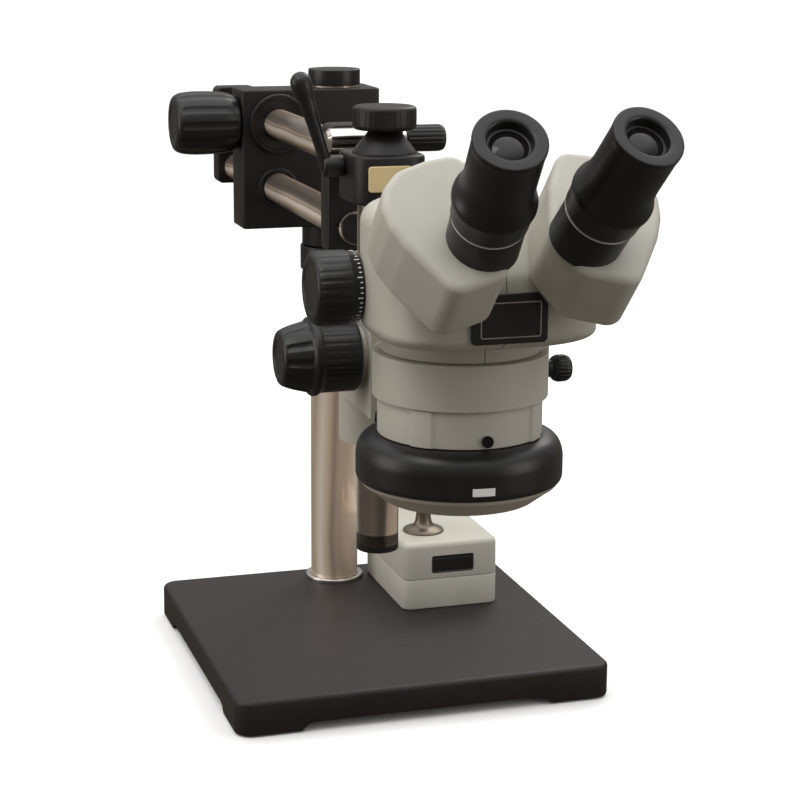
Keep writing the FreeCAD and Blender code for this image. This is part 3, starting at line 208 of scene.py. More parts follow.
def lug(start, end, z, radii, left):
    """A flat lug round an axle at height z: a rounded rectangle from start to end, measured
    towards the front, with its left face at left."""
    low, high = z - LUG_HALF, z + LUG_HALF
    corners = [(start, low), (end, low), (end, high), (start, high)]
    grid = slab(corners, radii, 0.0, LUG_WIDTH, 0.8, corner_steps=12)
    return placed(grid, (left, 0, 0), -Y_AXIS, Z_AXIS, X_AXIS)


def rectangle(width, height):
    """The corners of a rectangle about the middle, anticlockwise."""
    a, b = width / 2.0, height / 2.0
    return [(-a, -b), (a, -b), (a, b), (-a, b)]


def swept(path, radii, columns=24, steps=8):
    """Tube whose radius changes along a path through some points, closed by round ends."""
    path, radii = np.array(path, float), np.array(radii, float)
    t = np.linspace(0.0, len(path) - 1.0, (len(path) - 1) * steps + 1)
    knots = np.arange(len(path))
    centre = np.stack([np.interp(t, knots, path[:, k]) for k in range(3)], axis=1)
    size = np.interp(t, knots, radii)
    ahead = np.gradient(centre, axis=0)
    ahead /= np.linalg.norm(ahead, axis=1)[:, None]
    side = np.cross(ahead, X_AXIS if abs(ahead[0, 0]) < 0.9 else Y_AXIS)
    side /= np.linalg.norm(side, axis=1)[:, None]
    over = np.cross(ahead, side)
    bend = np.linspace(0.0, math.pi / 2, 6)
    start = [(centre[0] - ahead[0] * size[0] * math.cos(b), size[0] * math.sin(b), 0)
             for b in bend[:-1]]
    end = [(centre[-1] + ahead[-1] * size[-1] * math.sin(b), size[-1] * math.cos(b), -1)
           for b in bend[1:]]
    rings = start + [(centre[i], size[i], i) for i in range(len(t))] + end
    angle = np.linspace(0.0, 2 * math.pi, columns, endpoint=False)[:, None]
    return np.array(
        [c + r * (np.cos(angle) * side[i] + np.sin(angle) * over[i]) for c, r, i in rings]
    )


def skin(grid):
    """Vertices and faces of a grid whose columns go round. End rows that shrink to a point become
    poles; otherwise the last row joins the first. Faces point outwards."""
    poles = [np.ptp(grid[k], axis=0).max() < 1e-6 for k in (0, -1)]
    if poles[0] != poles[1]:
        raise RuntimeError("a surface needs both ends closed or neither")
    rows = grid[1:-1] if poles[0] else grid
    count, columns = rows.shape[:2]
    index = np.arange(count * columns).reshape(count, columns)
    near = index[:-1] if poles[0] else index
    far = index[1:] if poles[0] else np.roll(index, -1, axis=0)
    quads = np.stack([near, np.roll(near, -1, 1), np.roll(far, -1, 1), far], axis=-1).reshape(-1, 4)
    points = rows.reshape(-1, 3)
    triangles = np.zeros((0, 3), int)
    if poles[0]:
        points = np.vstack([points, grid[0, 0], grid[-1, 0]])
        first, last, bottom, top = index[0], index[-1], len(points) - 2, len(points) - 1
        low = np.stack([np.full(columns, bottom), np.roll(first, -1), first], axis=1)
        high = np.stack([np.full(columns, top), last, np.roll(last, -1)], axis=1)
        triangles = np.vstack([low, high])
    halves = np.vstack([quads[:, :3], quads[:, [0, 2, 3]], triangles])
    a, b, c = (points[halves[:, k]] for k in range(3))
    if np.einsum("ij,ij->i", a, np.cross(b, c)).sum() < 0:
        quads, triangles = quads[:, ::-1], triangles[:, ::-1]
    return points, quads, triangles


def piece(name, grids, finish, body, nodes, sharp=38.0):
    """One mesh object from one or more closed grids, riding on a body in place of CAD nodes."""
    points, faces, base = [], [], 0
    for grid in grids:
        made, quads, triangles = skin(grid)
        points.append(made)
        faces += (quads + base).tolist() + (triangles + base).tolist()
        base += len(made)
    mesh = bpy.data.meshes.new(name)
    mesh.from_pydata((np.vstack(points) * 0.001).tolist(), [], faces)
    mesh.polygons.foreach_set("use_smooth", np.ones(len(faces), bool))
    mesh.set_sharp_from_angle(angle=math.radians(sharp))
    mesh.materials.append(finish)
    mesh.validate()
    made = bpy.data.objects.new(name, mesh)
    bpy.context.scene.collection.objects.link(made)
    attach(made, body)
    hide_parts(*nodes)
    return made


# ---------------------------------------------------------------- finishes


def wire(tree, start, end):
    """Join two node sockets."""
    tree.links.new(start, end)


def new_finish(name):
    """A new node material and its tree, or the one of that name and no tree if it exists."""
    made = bpy.data.materials.get(name)
    if made:
        return made, None
    made = bpy.data.materials.new(name)
    made.use_nodes = True
    return made, made.node_tree


def noise(tree, place, scale, detail=3.0):
    """A noise texture over a coordinate."""
    node = tree.nodes.new("ShaderNodeTexNoise")
    node.inputs["Scale"].default_value = scale
    node.inputs["Detail"].default_value = detail
    wire(tree, place, node.inputs["Vector"])
    return node.outputs["Fac"]


def ramp(tree, factor, stops):
    """A colour ramp of (place, colour) stops."""
    node = tree.nodes.new("ShaderNodeValToRGB")
    line = node.color_ramp
    while len(line.elements) < len(stops):
        line.elements.new(0.5)
    for element, (place, colour) in zip(line.elements, stops):
        element.position = place
        element.color = (*colour, 1.0)
    wire(tree, factor, node.inputs["Fac"])
    return node.outputs["Color"]


def spread(tree, factor, low, high):
    """A noise value stretched between two numbers."""
    node = tree.nodes.new("ShaderNodeMapRange")
    for socket, value in zip(("From Min", "From Max", "To Min", "To Max"), (0.3, 0.7, low, high)):
        node.inputs[socket].default_value = value
    wire(tree, factor, node.inputs["Value"])
    return node.outputs["Result"]


def sum_of(tree, kind, *values):
    """A math node over sockets and numbers."""
    node = tree.nodes.new("ShaderNodeMath")
    node.operation = kind
    for socket, value in zip(node.inputs, values):
        if isinstance(value, (int, float)):
            socket.default_value = value
        else:
            wire(tree, value, socket)
    return node.outputs["Value"]


def paint(name, colour, rough=0.5, metal=0.0, grain=1500.0, bump=0.12, vary=0.12, gloss=0.5,
          seam=None):
    """A coat with cloudy colour, uneven roughness and a fine grain. seam is (x, y limit) of a thin
    dark parting line down a casting's front."""
    made, tree = new_finish(name)
    if tree is None:
        return made
    shader = tree.nodes["Principled BSDF"]
    place = tree.nodes.new("ShaderNodeTexCoord").outputs["Object"]
    cloud, fine = noise(tree, place, 38.0, 4.0), noise(tree, place, grain, 2.0)
    colour = np.array(colour)
    tint = ramp(tree, cloud,
                [(0.3, colour * (1 - vary)), (0.7, np.minimum(colour * (1 + vary), 1.0))])
    if seam:
        half_seam = 0.00032
        factor, under, over, mixed = 0, 6, 7, 2
        parts = tree.nodes.new("ShaderNodeSeparateXYZ")
        wire(tree, place, parts.inputs["Vector"])
        gap = sum_of(tree, "ABSOLUTE", sum_of(tree, "SUBTRACT", parts.outputs["X"], seam[0]))
        line = sum_of(tree, "LESS_THAN", gap, half_seam)
        front = sum_of(tree, "LESS_THAN", parts.outputs["Y"], seam[1])
        mix = tree.nodes.new("ShaderNodeMix")
        mix.data_type = "RGBA"
        mix.inputs[over].default_value = (*(colour * 0.25), 1.0)
        wire(tree, sum_of(tree, "MULTIPLY", line, front), mix.inputs[factor])
        wire(tree, tint, mix.inputs[under])
        tint = mix.outputs[mixed]
    wire(tree, tint, shader.inputs["Base Color"])
    wire(tree, spread(tree, cloud, rough * 0.9, min(rough * 1.12, 1.0)), shader.inputs["Roughness"])
    shader.inputs["Metallic"].default_value = metal
    shader.inputs["Specular IOR Level"].default_value = gloss
    ridge = tree.nodes.new("ShaderNodeBump")
    ridge.inputs["Strength"].default_value = bump
    ridge.inputs["Distance"].default_value = 0.0004
    wire(tree, fine, ridge.inputs["Height"])
    wire(tree, ridge.outputs["Normal"], shader.inputs["Normal"])
    return made


# Tones of the painted reflections on the plating, and its bands as (part of a turn, tone from dark 0 to
# pale 1): dark streaks and pale highlights painted round each bar.
REFLECTION_DARK_TONE = (0.06, 0.057, 0.054)
REFLECTION_PALE_TONE = (1.0, 0.95, 0.88)
POLE_REFLECTION_BANDS = (
    (0.0, 0.45), (0.05, 0.35), (0.12, 0.75), (0.17, 0.5), (0.205, 0.25), (0.24, 0.42), (0.30, 0.42),
    (0.36, 0.6), (0.42, 0.85), (0.5, 0.4), (0.58, 0.1), (0.66, 0.6), (0.72, 0.15), (0.8, 0.7),
    (0.88, 0.3), (0.94, 0.9), (1.0, 0.45),
)
POST_REFLECTION_BANDS = (
    (0.0, 0.15), (0.05, 0.05), (0.10, 0.08), (0.16, 0.12), (0.22, 0.05), (0.245, 0.1), (0.27, 0.45),
    (0.32, 0.55), (0.37, 0.6), (0.40, 0.1), (0.45, 0.05), (0.5, 0.6), (0.58, 0.2), (0.7, 0.6),
    (0.8, 0.1), (0.9, 0.6), (0.95, 0.7), (0.985, 0.4),
)
ARM_REFLECTION_BANDS = (
    (0.0, 0.9), (0.05, 0.5), (0.12, 0.1), (0.3, 0.3), (0.5, 0.5), (0.6, 0.2), (0.7, 0.5), (0.78,
                                                                                           0.15),
    (0.88, 0.05), (0.93, 0.1), (0.955, 0.35), (0.97, 0.15), (0.985, 0.7), (1.0, 0.6),
)


def painted_reflection_plating(name, centre, axis, tint, bands):
    """Bright plating on a round bar with painted reflections. The tone runs lengthwise in dark and pale
    bands set by the angle round the bar, standing in for reflected surroundings and highlights, and
    slow noise makes them wander along it."""
    made, tree = new_finish(name)
    if tree is None:
        return made
    shader = tree.nodes["Principled BSDF"]
    place = tree.nodes.new("ShaderNodeTexCoord").outputs["Object"]
    shift = tree.nodes.new("ShaderNodeVectorMath")
    shift.operation = "SUBTRACT"
    shift.inputs[1].default_value = [value * 0.001 for value in centre]
    wire(tree, place, shift.inputs[0])
    parts = tree.nodes.new("ShaderNodeSeparateXYZ")
    wire(tree, shift.outputs["Vector"], parts.inputs["Vector"])
    up = parts.outputs["Y"] if axis == "Z" else parts.outputs["Z"]
    turn = sum_of(tree, "DIVIDE", sum_of(tree, "ARCTAN2", up, parts.outputs["X"]), 2 * math.pi)
    wander = spread(tree, noise(tree, place, 7.0, 2.0), -0.03, 0.03)
    turn = sum_of(tree, "FRACT", sum_of(tree, "ADD", sum_of(tree, "ADD", turn, 1.5), wander))
    steps = np.array([REFLECTION_DARK_TONE, tint, REFLECTION_PALE_TONE], float)
    colours = [[np.interp(tone, (0.0, 0.5, 1.0), steps[:, k]) for k in range(3)] for _,
               tone in bands]
    stops = [(spot, colour) for (spot, _), colour in zip(bands, colours)]
    # Painted reflection: the base colour takes dark streaks and pale highlights from the angle round
    # the bar.
    wire(tree, ramp(tree, turn, stops), shader.inputs["Base Color"])
    wire(tree, spread(tree, noise(tree, place, 60.0), 0.16, 0.24), shader.inputs["Roughness"])
    shader.inputs["Metallic"].default_value = 0.35
    return made


def finishes(settings):
    """Every finish, by the record's slot."""
    grey = np.array(settings.paint_colour[:3])
    black = np.array(settings.black_colour[:3])
    return {
        "black_casting": paint("finish_black_casting", black * (2.0, 1.6, 1.45), 0.5, bump=0.3,
                               grain=1700, gloss=0.32),
        "black_block": paint("finish_black_block", black * (1.1, 1.0, 1.0), 0.42, bump=0.08,
                             grain=2600, gloss=0.35),
        "black_plastic": paint("finish_black_plastic", black * 1.1, 0.36, bump=0.06, grain=2200,
                               gloss=0.4),
        "collar_black": paint("finish_collar_black", black * 1.0, 0.38, bump=0.06, grain=2600),
        "label_black": paint("finish_label_black", black * 1.3, 0.3, bump=0.03, grain=3000),
        "set_screw": paint("finish_set_screw", black * 0.9, 0.35, metal=0.6, bump=0.05),
        "rubber": paint("finish_rubber", black * 1.5, 0.8, bump=0.3, grain=1200),
        "bronze": paint("finish_bronze", (0.16, 0.13, 0.1), 0.35, metal=0.8, bump=0.04),
        "steel": paint("finish_steel", (0.55, 0.53, 0.5), 0.28, metal=1.0, bump=0.04, grain=3000),
        "chrome": paint("finish_chrome", (0.75, 0.7, 0.64), 0.12, metal=1.0, bump=0.01, grain=800),
        "grey_casting": paint("finish_grey_casting", grey, 0.5, bump=0.22, grain=2400, vary=0.04,
                              gloss=0.4),
        "grey_plastic": paint("finish_grey_plastic", grey * 0.98, 0.55, bump=0.1, grain=2600,
                              vary=0.04),
        "cream": paint("finish_cream", settings.plate_colour[:3], 0.42, bump=0.04, vary=0.1),
        "diffuser": paint("finish_diffuser", settings.diffuser_colour[:3], 0.5, bump=0.03,
                          vary=0.06),
        "glass": paint("finish_glass", (0.006, 0.005, 0.006), 0.03, bump=0.0, vary=0.4, gloss=0.4),
    }


# ---------------------------------------------------------------- settings


class MicroscopeSettings(bpy.types.PropertyGroup):
    """Colours and sizes a user would change."""

    paint_colour: bpy.props.FloatVectorProperty(
        name="Head paint", description="Colour of the grey castings and the power box",
        subtype="COLOR", size=4, min=0, max=1, default=(0.47, 0.452, 0.395, 1.0),
    )
    black_colour: bpy.props.FloatVectorProperty(
        name="Black parts", description="Colour of the base, blocks and knobs",
        subtype="COLOR", size=4, min=0, max=1, default=(0.0085, 0.0080, 0.0082, 1.0),
    )
    plate_colour: bpy.props.FloatVectorProperty(
        name="Blank plate", description="Colour of the plate on the post holder",
        subtype="COLOR", size=4, min=0, max=1, default=(0.62, 0.49, 0.26, 1.0),
    )
    diffuser_colour: bpy.props.FloatVectorProperty(
        name="Diffuser", description="Colour of the ring light's lower cone",
        subtype="COLOR", size=4, min=0, max=1, default=(0.42, 0.38, 0.33, 1.0),
    )
    # The warm middle tone of the painted reflection bands on the plated bars.
    painted_reflection_tint: bpy.props.FloatVectorProperty(
        name="Plating tint", description="Warm tone in the plated bars",
        subtype="COLOR", size=4, min=0, max=1, default=(0.72, 0.56, 0.43, 1.0),
    )
    floor_colour: bpy.props.FloatVectorProperty(
        name="Floor", description="Colour of the floor",
        subtype="COLOR", size=4, min=0, max=1, default=(0.93, 0.93, 0.92, 1.0),
    )
    base_edge: bpy.props.FloatProperty(
        name="Base edge", description="Rounding of the base plate's upper edge",
        unit="LENGTH", default=0.003, min=0.001, max=0.006,
    )
    panel_seam: bpy.props.FloatProperty(
        name="Panel seam", description="Width of the seam between the power box's halves",
        unit="LENGTH", default=0.0006, min=0.0002, max=0.002,
    )
    pad_rise: bpy.props.FloatProperty(
        name="Adapter pads", description="Height of the raised pads on the light's adapter",
        unit="LENGTH", default=0.0012, min=0.0, max=0.002,
    )
    label_width: bpy.props.FloatProperty(
        name="Light label", description="Width of the blank label on the ring light",
        unit="LENGTH", default=0.0115, min=0.004, max=0.03,
    )
    knob_flutes: bpy.props.IntProperty(
        name="Knob flutes", description="Scallops round each large lock knob",
        default=12, min=6, max=40,
    )
    dome_strength: bpy.props.FloatProperty(
        name="Dome light", description="Strength of the soft overhead light",
        default=1.0, min=0.0, max=4.0,
    )


def settings_of(context):
    """The scene's settings and the finishes made from them."""
    values = context.scene.microscope
    return values, finishes(values)


class PieceOperator:
    """Shared options of the operators that build pieces."""

    bl_options = {"REGISTER", "UNDO"}


# ---------------------------------------------------------------- stand


class MICROSCOPE_OT_base(PieceOperator, bpy.types.Operator):
    """Base plate: a rounded square goes round at falling heights; the wall's lower edge rises to
    form an arch along each side between the feet, and the underside steps up to the web"""

    bl_idname = "microscope.base"
    bl_label = "Base plate"

    def execute(self, context):
        values, finish = settings_of(context)
        low, high, middle = span("base_plate")
        width, depth = (high - low)[:2]
        corners = rectangle(width, depth)
        edge = values.base_edge * 1000.0
        wall, web, middle_inset = 8.0, 6.0, 30.0
        foot, run, rise = 42.0, 5.0, 5.0

        def draw(inset):
            return outline(corners, 11.0, inset, steps=8, along=60)

        ring = draw(0.0)
        reach = np.minimum(width / 2 - np.abs(ring[:, 0]), depth / 2 - np.abs(ring[:, 1]))
        inner = np.minimum(np.abs(ring[:, 0]), np.abs(ring[:, 1]))
        t = np.clip((width / 2 - inner - foot) / run, 0.0, 1.0)
        arch = np.where(reach < 2.0, rise * t**2 * (3 - 2 * t), 0.0)
        bottom = low[2] + arch
        bend = np.linspace(0.0, math.pi / 2, 7)
        levels = [(draw(middle_inset), high[2]), (draw(edge + 0.8), high[2])]
        levels += [(draw(edge * (1 - math.sin(b))), high[2] - edge * (1 - math.cos(b)))
                   for b in bend]
        levels += [(ring, bottom + 1.2), (draw(0.35), bottom + 0.35), (draw(1.2), bottom)]
        levels += [(draw(wall), bottom), (draw(wall), high[2] - web),
                   (draw(middle_inset), high[2] - web)]
        grid = stacked(levels) + [middle[0], middle[1], 0.0]
        piece("base_plate_casting", [grid], finish["black_casting"], "stand", ["base_plate"])
        low, high, middle = span("foot_pads")
        pads, r = [], 12.0
        for x in (low[0] + r, high[0] - r):
            for y in (low[1] + r, high[1] - r):
                profile = [(0, low[2], 0), (r - 1, low[2], 0.8), (r, high[2], 0.6), (0, high[2], 0)]
                pads.append(turned((x, y, 0), Z_AXIS, soften(profile), 48))
        piece("rubber_pads", pads, finish["rubber"], "stand", ["foot_pads"])
        return {"FINISHED"}


class MICROSCOPE_OT_pole(PieceOperator, bpy.types.Operator):
    """Pole, its foot ring and its cap: profiles of radius over height turned round the pole's axis"""

    bl_idname = "microscope.pole"
    bl_label = "Pole"

    def execute(self, context):
        values, finish = settings_of(context)
        low, high, middle = span("pole")
        radius = (high - low)[0] / 2
        # The pole's plating carries painted reflections and highlights in lengthwise bands.
        plate = painted_reflection_plating("finish_pole_plating_painted_reflection", middle, "Z", values.painted_reflection_tint[:3], POLE_REFLECTION_BANDS)
        heights = np.linspace(low[2] + 1, high[2] - 1, 24)
        profile = [(0, low[2], 0), (radius, low[2], 0.5)]
        profile += [(radius, h, 0) for h in heights] + [(radius, high[2], 0.6), (0, high[2], 0)]
        centre = (middle[0], middle[1], 0)
        piece("pole_bar", [turned(centre, Z_AXIS, soften(profile))], plate, "stand", ["pole"])
        low, high, middle = span("pole_ring")
        outer = (high - low)[0] / 2
        bore = radius + CLEAR
        loop = [(bore, low[2], 0), (outer, low[2], 0.3), (outer, high[2], 1.2),
                (bore, high[2], 0.4)]
        ring = turned(centre, Z_AXIS, soften(loop, True))
        piece("pole_foot_ring", [ring], finish["steel"], "stand", ["pole_ring"])
        low, high, middle = span("pole_cap")
        outer = (high - low)[0] / 2
        top = [(0, low[2], 0), (outer, low[2], 0.4), (outer, high[2], 0.9),
               (outer - 4, high[2], 0.5)]
        top += [(outer - 5, high[2] - 0.4, 0.4), (0, high[2] - 0.4, 0)]
        piece("pole_top_cap", [turned(centre, Z_AXIS, soften(top))], finish["black_plastic"],
              "stand",
              ["pole_cap"])
        return {"FINISHED"}


class MICROSCOPE_OT_power_box(PieceOperator, bpy.types.Operator):
    """Power box: rounded rectangles go round at rising heights, drawn in at the seam between the
    halves; the socket is turned, and the switch is a framed rocker whose face bends about its middle"""

    bl_idname = "microscope.power_box"
    bl_label = "Power box"

    def execute(self, context):
        values, finish = settings_of(context)
        seam = values.panel_seam * 1000.0
        low, high, middle = span("box_base")
        corners = rectangle(*(high - low)[:2])

        def draw(inset):
            return outline(corners, 7.0, inset, steps=8)

        levels = [(draw(3.0), low[2]), (draw(1.4), low[2]), (draw(0.5), low[2] + 0.5),
                  (draw(0.1), low[2] + 1.6)]
        levels += [(draw(0.0), high[2] - 1.2), (draw(0.15), high[2] - seam),
                   (draw(0.7), high[2] - seam * 0.6)]
        levels += [(draw(0.9), high[2]), (draw(4.0), high[2])]
        grid = stacked(levels) + [middle[0], middle[1], 0]
        piece("power_box_tray", [grid], finish["grey_plastic"], "stand", ["box_base"])
        low, high, middle = span("box_cover")
        bend = np.linspace(0.0, math.pi / 2, 8)
        levels = [(draw(4.0), low[2]), (draw(0.9), low[2]), (draw(0.7), low[2] + seam * 0.4)]
        levels += [(draw(0.15), low[2] + seam), (draw(0.0), low[2] + 1.2)]
        levels += [(draw(0.3 + 4 * (1 - math.cos(b))), high[2] - 4 * (1 - math.sin(b)))
                   for b in bend]
        levels += [(draw(5.4), high[2])]
        grid = stacked(levels) + [middle[0], middle[1], 0]
        piece("power_box_cover", [grid], finish["grey_plastic"], "stand", ["box_cover"])
        low, high, middle = span("lead_socket")
        r, z, top = (high - low)[0] / 2, span("box_cover")[1][2], high[2]
        profile = [(0, z, 0), (r, z, 0.2), (r, z + 1.2, 0.5), (r * 0.86, z + 2.4, 1),
                   (r * 0.52, z + 4.0, 2)]
        profile += [(5.9, z + 7, 2), (5.2, z + 12, 2), (5.0, top - 9, 1), (5.2, top - 5, 1),
                    (5.1, top, 0.8), (0, top, 0)]
        socket = turned((middle[0], middle[1], 0), Z_AXIS, soften(profile), 64)
        piece("lead_socket_turning", [socket], finish["bronze"], "stand", ["lead_socket"])
        low, high, middle = span("switch_frame")
        size = high - low
        face = span("box_cover")[0][1]
        depth, floor = size[1], high[1] - face + 0.15
        insets = [(0.6, 0.0), (0.0, 0.2), (0.0, depth - 0.3), (0.3, depth)]
        insets += [(1.0, depth), (1.2, depth - 0.2), (1.3, floor), (2.2, floor)]
        border = rectangle(size[0], size[2])
        levels = [(outline(border, 1.6, inset, steps=5), height) for inset, height in insets]
        grid = facing_front(stacked(levels), middle[0], high[1], middle[2])
        piece("switch_bezel", [grid], finish["black_plastic"], "stand", ["switch_frame"])
        low, high, middle = span("rocker_switch")
        size = high - low
        floor = high[1] - face + 0.25
        grid = slab(rectangle(size[0], size[2]), 1.0, 0.0, floor, 0.2, along=6)
        rise = (size[1] - floor) * np.abs(grid[..., 0]) / (size[0] / 2)
        grid[..., 2] += np.where(grid[..., 2] > floor * 0.6, rise, 0.0)
        grid = facing_front(grid, middle[0], high[1], middle[2])
        piece("rocker_paddle", [grid], finish["black_plastic"], "rocker", ["rocker_switch"])
        return {"FINISHED"}


class MICROSCOPE_OT_carrier(PieceOperator, bpy.types.Operator):
    """Safety collar, pole block and front bushes: the block is a stepped outline with rounded edges
    over a turned neck; collar and bushes are closed profiles turned round their bores"""

    bl_idname = "microscope.carrier"
    bl_label = "Boom carrier"

    def execute(self, context):
        finish = finishes(context.scene.microscope)
        low, high, pole = span("pole")
        bore = (high - low)[0] / 2 + CLEAR
        low, high, _ = span("safety_collar")
        wing, r = low[0], (high - low)[0] / 2
        loop = [(bore, low[2], 0.5), (r, low[2], 1.2), (r, high[2], 1.2), (bore, high[2], 0.5)]
        ring = turned((pole[0], pole[1], 0), Z_AXIS, soften(loop, True))
        piece("safety_collar_ring", [ring], finish["collar_black"], "collar", ["safety_collar"])
        low, high, middle = span("pole_block")
        step, under, r = high[1] - 14.0, low[2] + 15.5, 22.7
        shape = [(low[0], low[1]), (high[0], low[1]), (high[0], high[1])]
        shape += [(wing, high[1]), (wing, step), (low[0], step)]
        block = slab(shape, [2.5, 3, 8, 4, 2, 2.5], under, high[2], 1.6, corner_steps=8)
        neck = [(0, low[2], 0), (r, low[2], 0.8), (r, under + 1.5, 0), (0, under + 1.5, 0)]
        neck = turned((pole[0], pole[1], 0), Z_AXIS, soften(neck))
        piece("pole_block_casting", [block, neck], finish["black_block"], "boom_carrier",
              ["pole_block"])
        front = span("arm_bushes")[0][1]
        rings = []
        deep = 6.3
        for node, outer, lip in (("upper_arm", 20.3, 0.0), ("lower_arm", 14.0, 3.2)):
            low, high, middle = span(node)
            inner = (high - low)[0] / 2 + CLEAR
            loop = [(inner, deep, 0), (outer, deep, 0), (outer, lip, 1.6), (outer - 2.4, lip, 1.2)]
            loop += [(outer - 3.4, lip + 1.2, 1.0), (inner + 1.2, lip + 1.4, 0.8),
                     (inner, lip + 2.2, 0)]
            rings.append(turned((middle[0], front, middle[2]), Y_AXIS, soften(loop, True), 80))
        piece("arm_bush_faces", rings, finish["black_plastic"], "boom_carrier", ["arm_bushes"])
        return {"FINISHED"}


class MICROSCOPE_OT_lock_knobs(PieceOperator, bpy.types.Operator):
    """Lock knobs: a profile of radius over length turned round each stud, with lengthwise scallops
    cut in by a cosine of the angle"""

    bl_idname = "microscope.lock_knobs"
    bl_label = "Lock knobs"

    def execute(self, context):
        values, finish = settings_of(context)
        black = finish["black_plastic"]
        block_low, block_high, _ = span("pole_block")
        low, high, middle = span("boom_lock_knob")
        start = block_low[0] - 0.6
        r, length = (high - low)[2] / 2, start - low[0]
        points = [(0, -12, 0), (5.5, -12, 0), (5.5, 0, 0), (r * 0.82, 0, 1), (r * 0.9, 4, 3),
                  (r * 0.97, 9, 4)]
        points += [(r, 20, 8), (r, length * 0.72, 5), (r * 0.95, length - 4, 4),
                   (r * 0.82, length, 4)]
        points += [(r * 0.6, length, 1.0), (r * 0.55, length - 0.8, 0.6), (0, length - 0.8, 0)]
        shape = flutes((2.0, length - 3.0, values.knob_flutes, 0.75))
        place, columns = (start, middle[1], middle[2]), values.knob_flutes * 16
        knob = turned(place, -X_AXIS, soften(points), columns, shape)
        piece("boom_lock_grip", [knob], black, "boom_lock", ["boom_lock_knob"], 50)
        low, high, middle = span("pole_lock_knob")
        start = block_high[1] + 1.0
        r, length = (high - low)[0] / 2, high[1] - start
        points = [(0, -8, 0), (4.5, -8, 0), (4.5, 0, 0), (r * 0.8, 0, 1), (r, 6, 4),
                  (r, length - 5, 4)]
        points += [(r * 0.86, length, 3), (0, length, 0)]
        shape = flutes((3, length - 2, 12, 1.0))
        knob = turned((middle[0], start, middle[2]), Y_AXIS, soften(points), 192, shape)
        piece("pole_lock_grip", [knob], black, "pole_lock", ["pole_lock_knob"], 50)
        low, high, middle = span("post_lock_knob")
        r, top, seat = (high - low)[0] / 2, high[2], span("post_housing")[1][2]
        points = [(0, low[2], 0), (4, low[2], 0), (4, seat - 4.6, 0), (8.4, seat - 4.6, 0.5)]
        points += [(8.0, seat - 2, 0.6), (8.5, seat + 0.2, 0.5), (r - 1.4, seat + 0.2, 1.0)]
        points += [(r, seat + 2, 1.2), (r, top - 1.4, 1.3), (r - 1.6, top, 1.2)]
        points += [(r - 9, top - 0.3, 0), (0, top - 0.3, 0)]
        shape = flutes((seat + 1.5, top - 1.5, 36, 0.25))
        knob = turned((middle[0], middle[1], 0), Z_AXIS, soften(points), 144, shape)
        piece("post_lock_disc", [knob], finish["black_block"], "post_lock", ["post_lock_knob"],
              50)
        low, high, middle = span("tilt_lock_knob")
        r, start = (high - low)[2] / 2, low[0]
        length = high[0] - start
        points = [(0, 0, 0), (r * 0.92, 0, 1), (r, 2, 1), (r, length - 2.5, 1.5),
                  (r * 0.85, length, 1.5), (0, length, 0)]
        shape = flutes((1, length - 1, 18, 0.45))
        knob = turned((start, middle[1], middle[2]), X_AXIS, soften(points), 144, shape)
        piece("tilt_lock_grip", [knob], black, "tilt_lock", ["tilt_lock_knob"], 50)
        low, high, middle = span("head_lock_screw")
        r, start = (high - low)[2] / 2, span("mount_ring")[1][0] + 1.6
        length = high[0] - start
        points = [(0, low[0] - start, 0), (3, low[0] - start, 0), (3, -3.2, 0.4), (4.4, -3.0, 0.4),
                  (4.4, 0, 0.6)]
        points += [(r * 0.8, 0, 1.2), (r, 2.2, 1.6), (r, length - 2.6, 1.8),
                   (r * 0.78, length, 1.4), (0, length, 0)]
        shape = flutes((1.2, length - 1.2, 20, 0.4))
        knob = turned((start, middle[1], middle[2]), X_AXIS, soften(points), 160, shape)
        piece("head_lock_grip", [knob], black, "head_lock", ["head_lock_screw"],
              50)
        return {"FINISHED"}


class MICROSCOPE_OT_boom(PieceOperator, bpy.types.Operator):
    """Boom: two bars turned round their axes between a rear plate and a front block, whose
    outlines have rounded corners and edges; the front block's lug ends in an arc round the axle"""

    bl_idname = "microscope.boom"
    bl_label = "Boom"

    def execute(self, context):
        values, finish = settings_of(context)
        for node in ("upper_arm", "lower_arm"):
            low, high, middle = span(node)
            r, length = (high - low)[0] / 2, (high - low)[1]
            bar = [(0, 0, 0), (r, 0, 0.6)] + [(r, h, 0) for h in np.linspace(2, length - 2, 20)]
            bar = soften(bar + [(r, length, 0.6), (0, length, 0)])
            # Each arm's plating carries painted reflections and highlights in lengthwise bands.
            plate = painted_reflection_plating("finish_" + node, middle, "Y", values.painted_reflection_tint[:3], ARM_REFLECTION_BANDS)
            grid = turned((middle[0], low[1], middle[2]), Y_AXIS, bar)
            piece(node + "_bar", [grid], plate, "boom", [node])
        low, high, middle = span("rear_end_plate")
        size = high - low
        grid = slab(rectangle(size[0], size[2]), 4.0, 0.0, size[1], 1.2)
        grid = facing_front(grid, middle[0], high[1], middle[2])
        piece("rear_plate_block", [grid], finish["black_block"], "boom", ["rear_end_plate"])
        low, high, middle = span("front_end_block")
        width, thick, top = (high - low)[0], 18.0, high[2] - 3.0
        grid = slab(rectangle(width, top - low[2]), 5.0, 0.0, thick, 1.4, corner_steps=8)
        block = facing_front(grid, middle[0], high[1], (top + low[2]) / 2)
        axle, root = span("tilt_axle")[2], thick - 1.0 - high[1]
        ear = lug(root, -low[1], axle[2], [0.5, 8.5, 8.5, 0.5], FRONT_LUG_LEFT)
        piece("front_block_casting", [block, ear], finish["black_block"], "boom",
              ["front_end_block"])
        return {"FINISHED"}


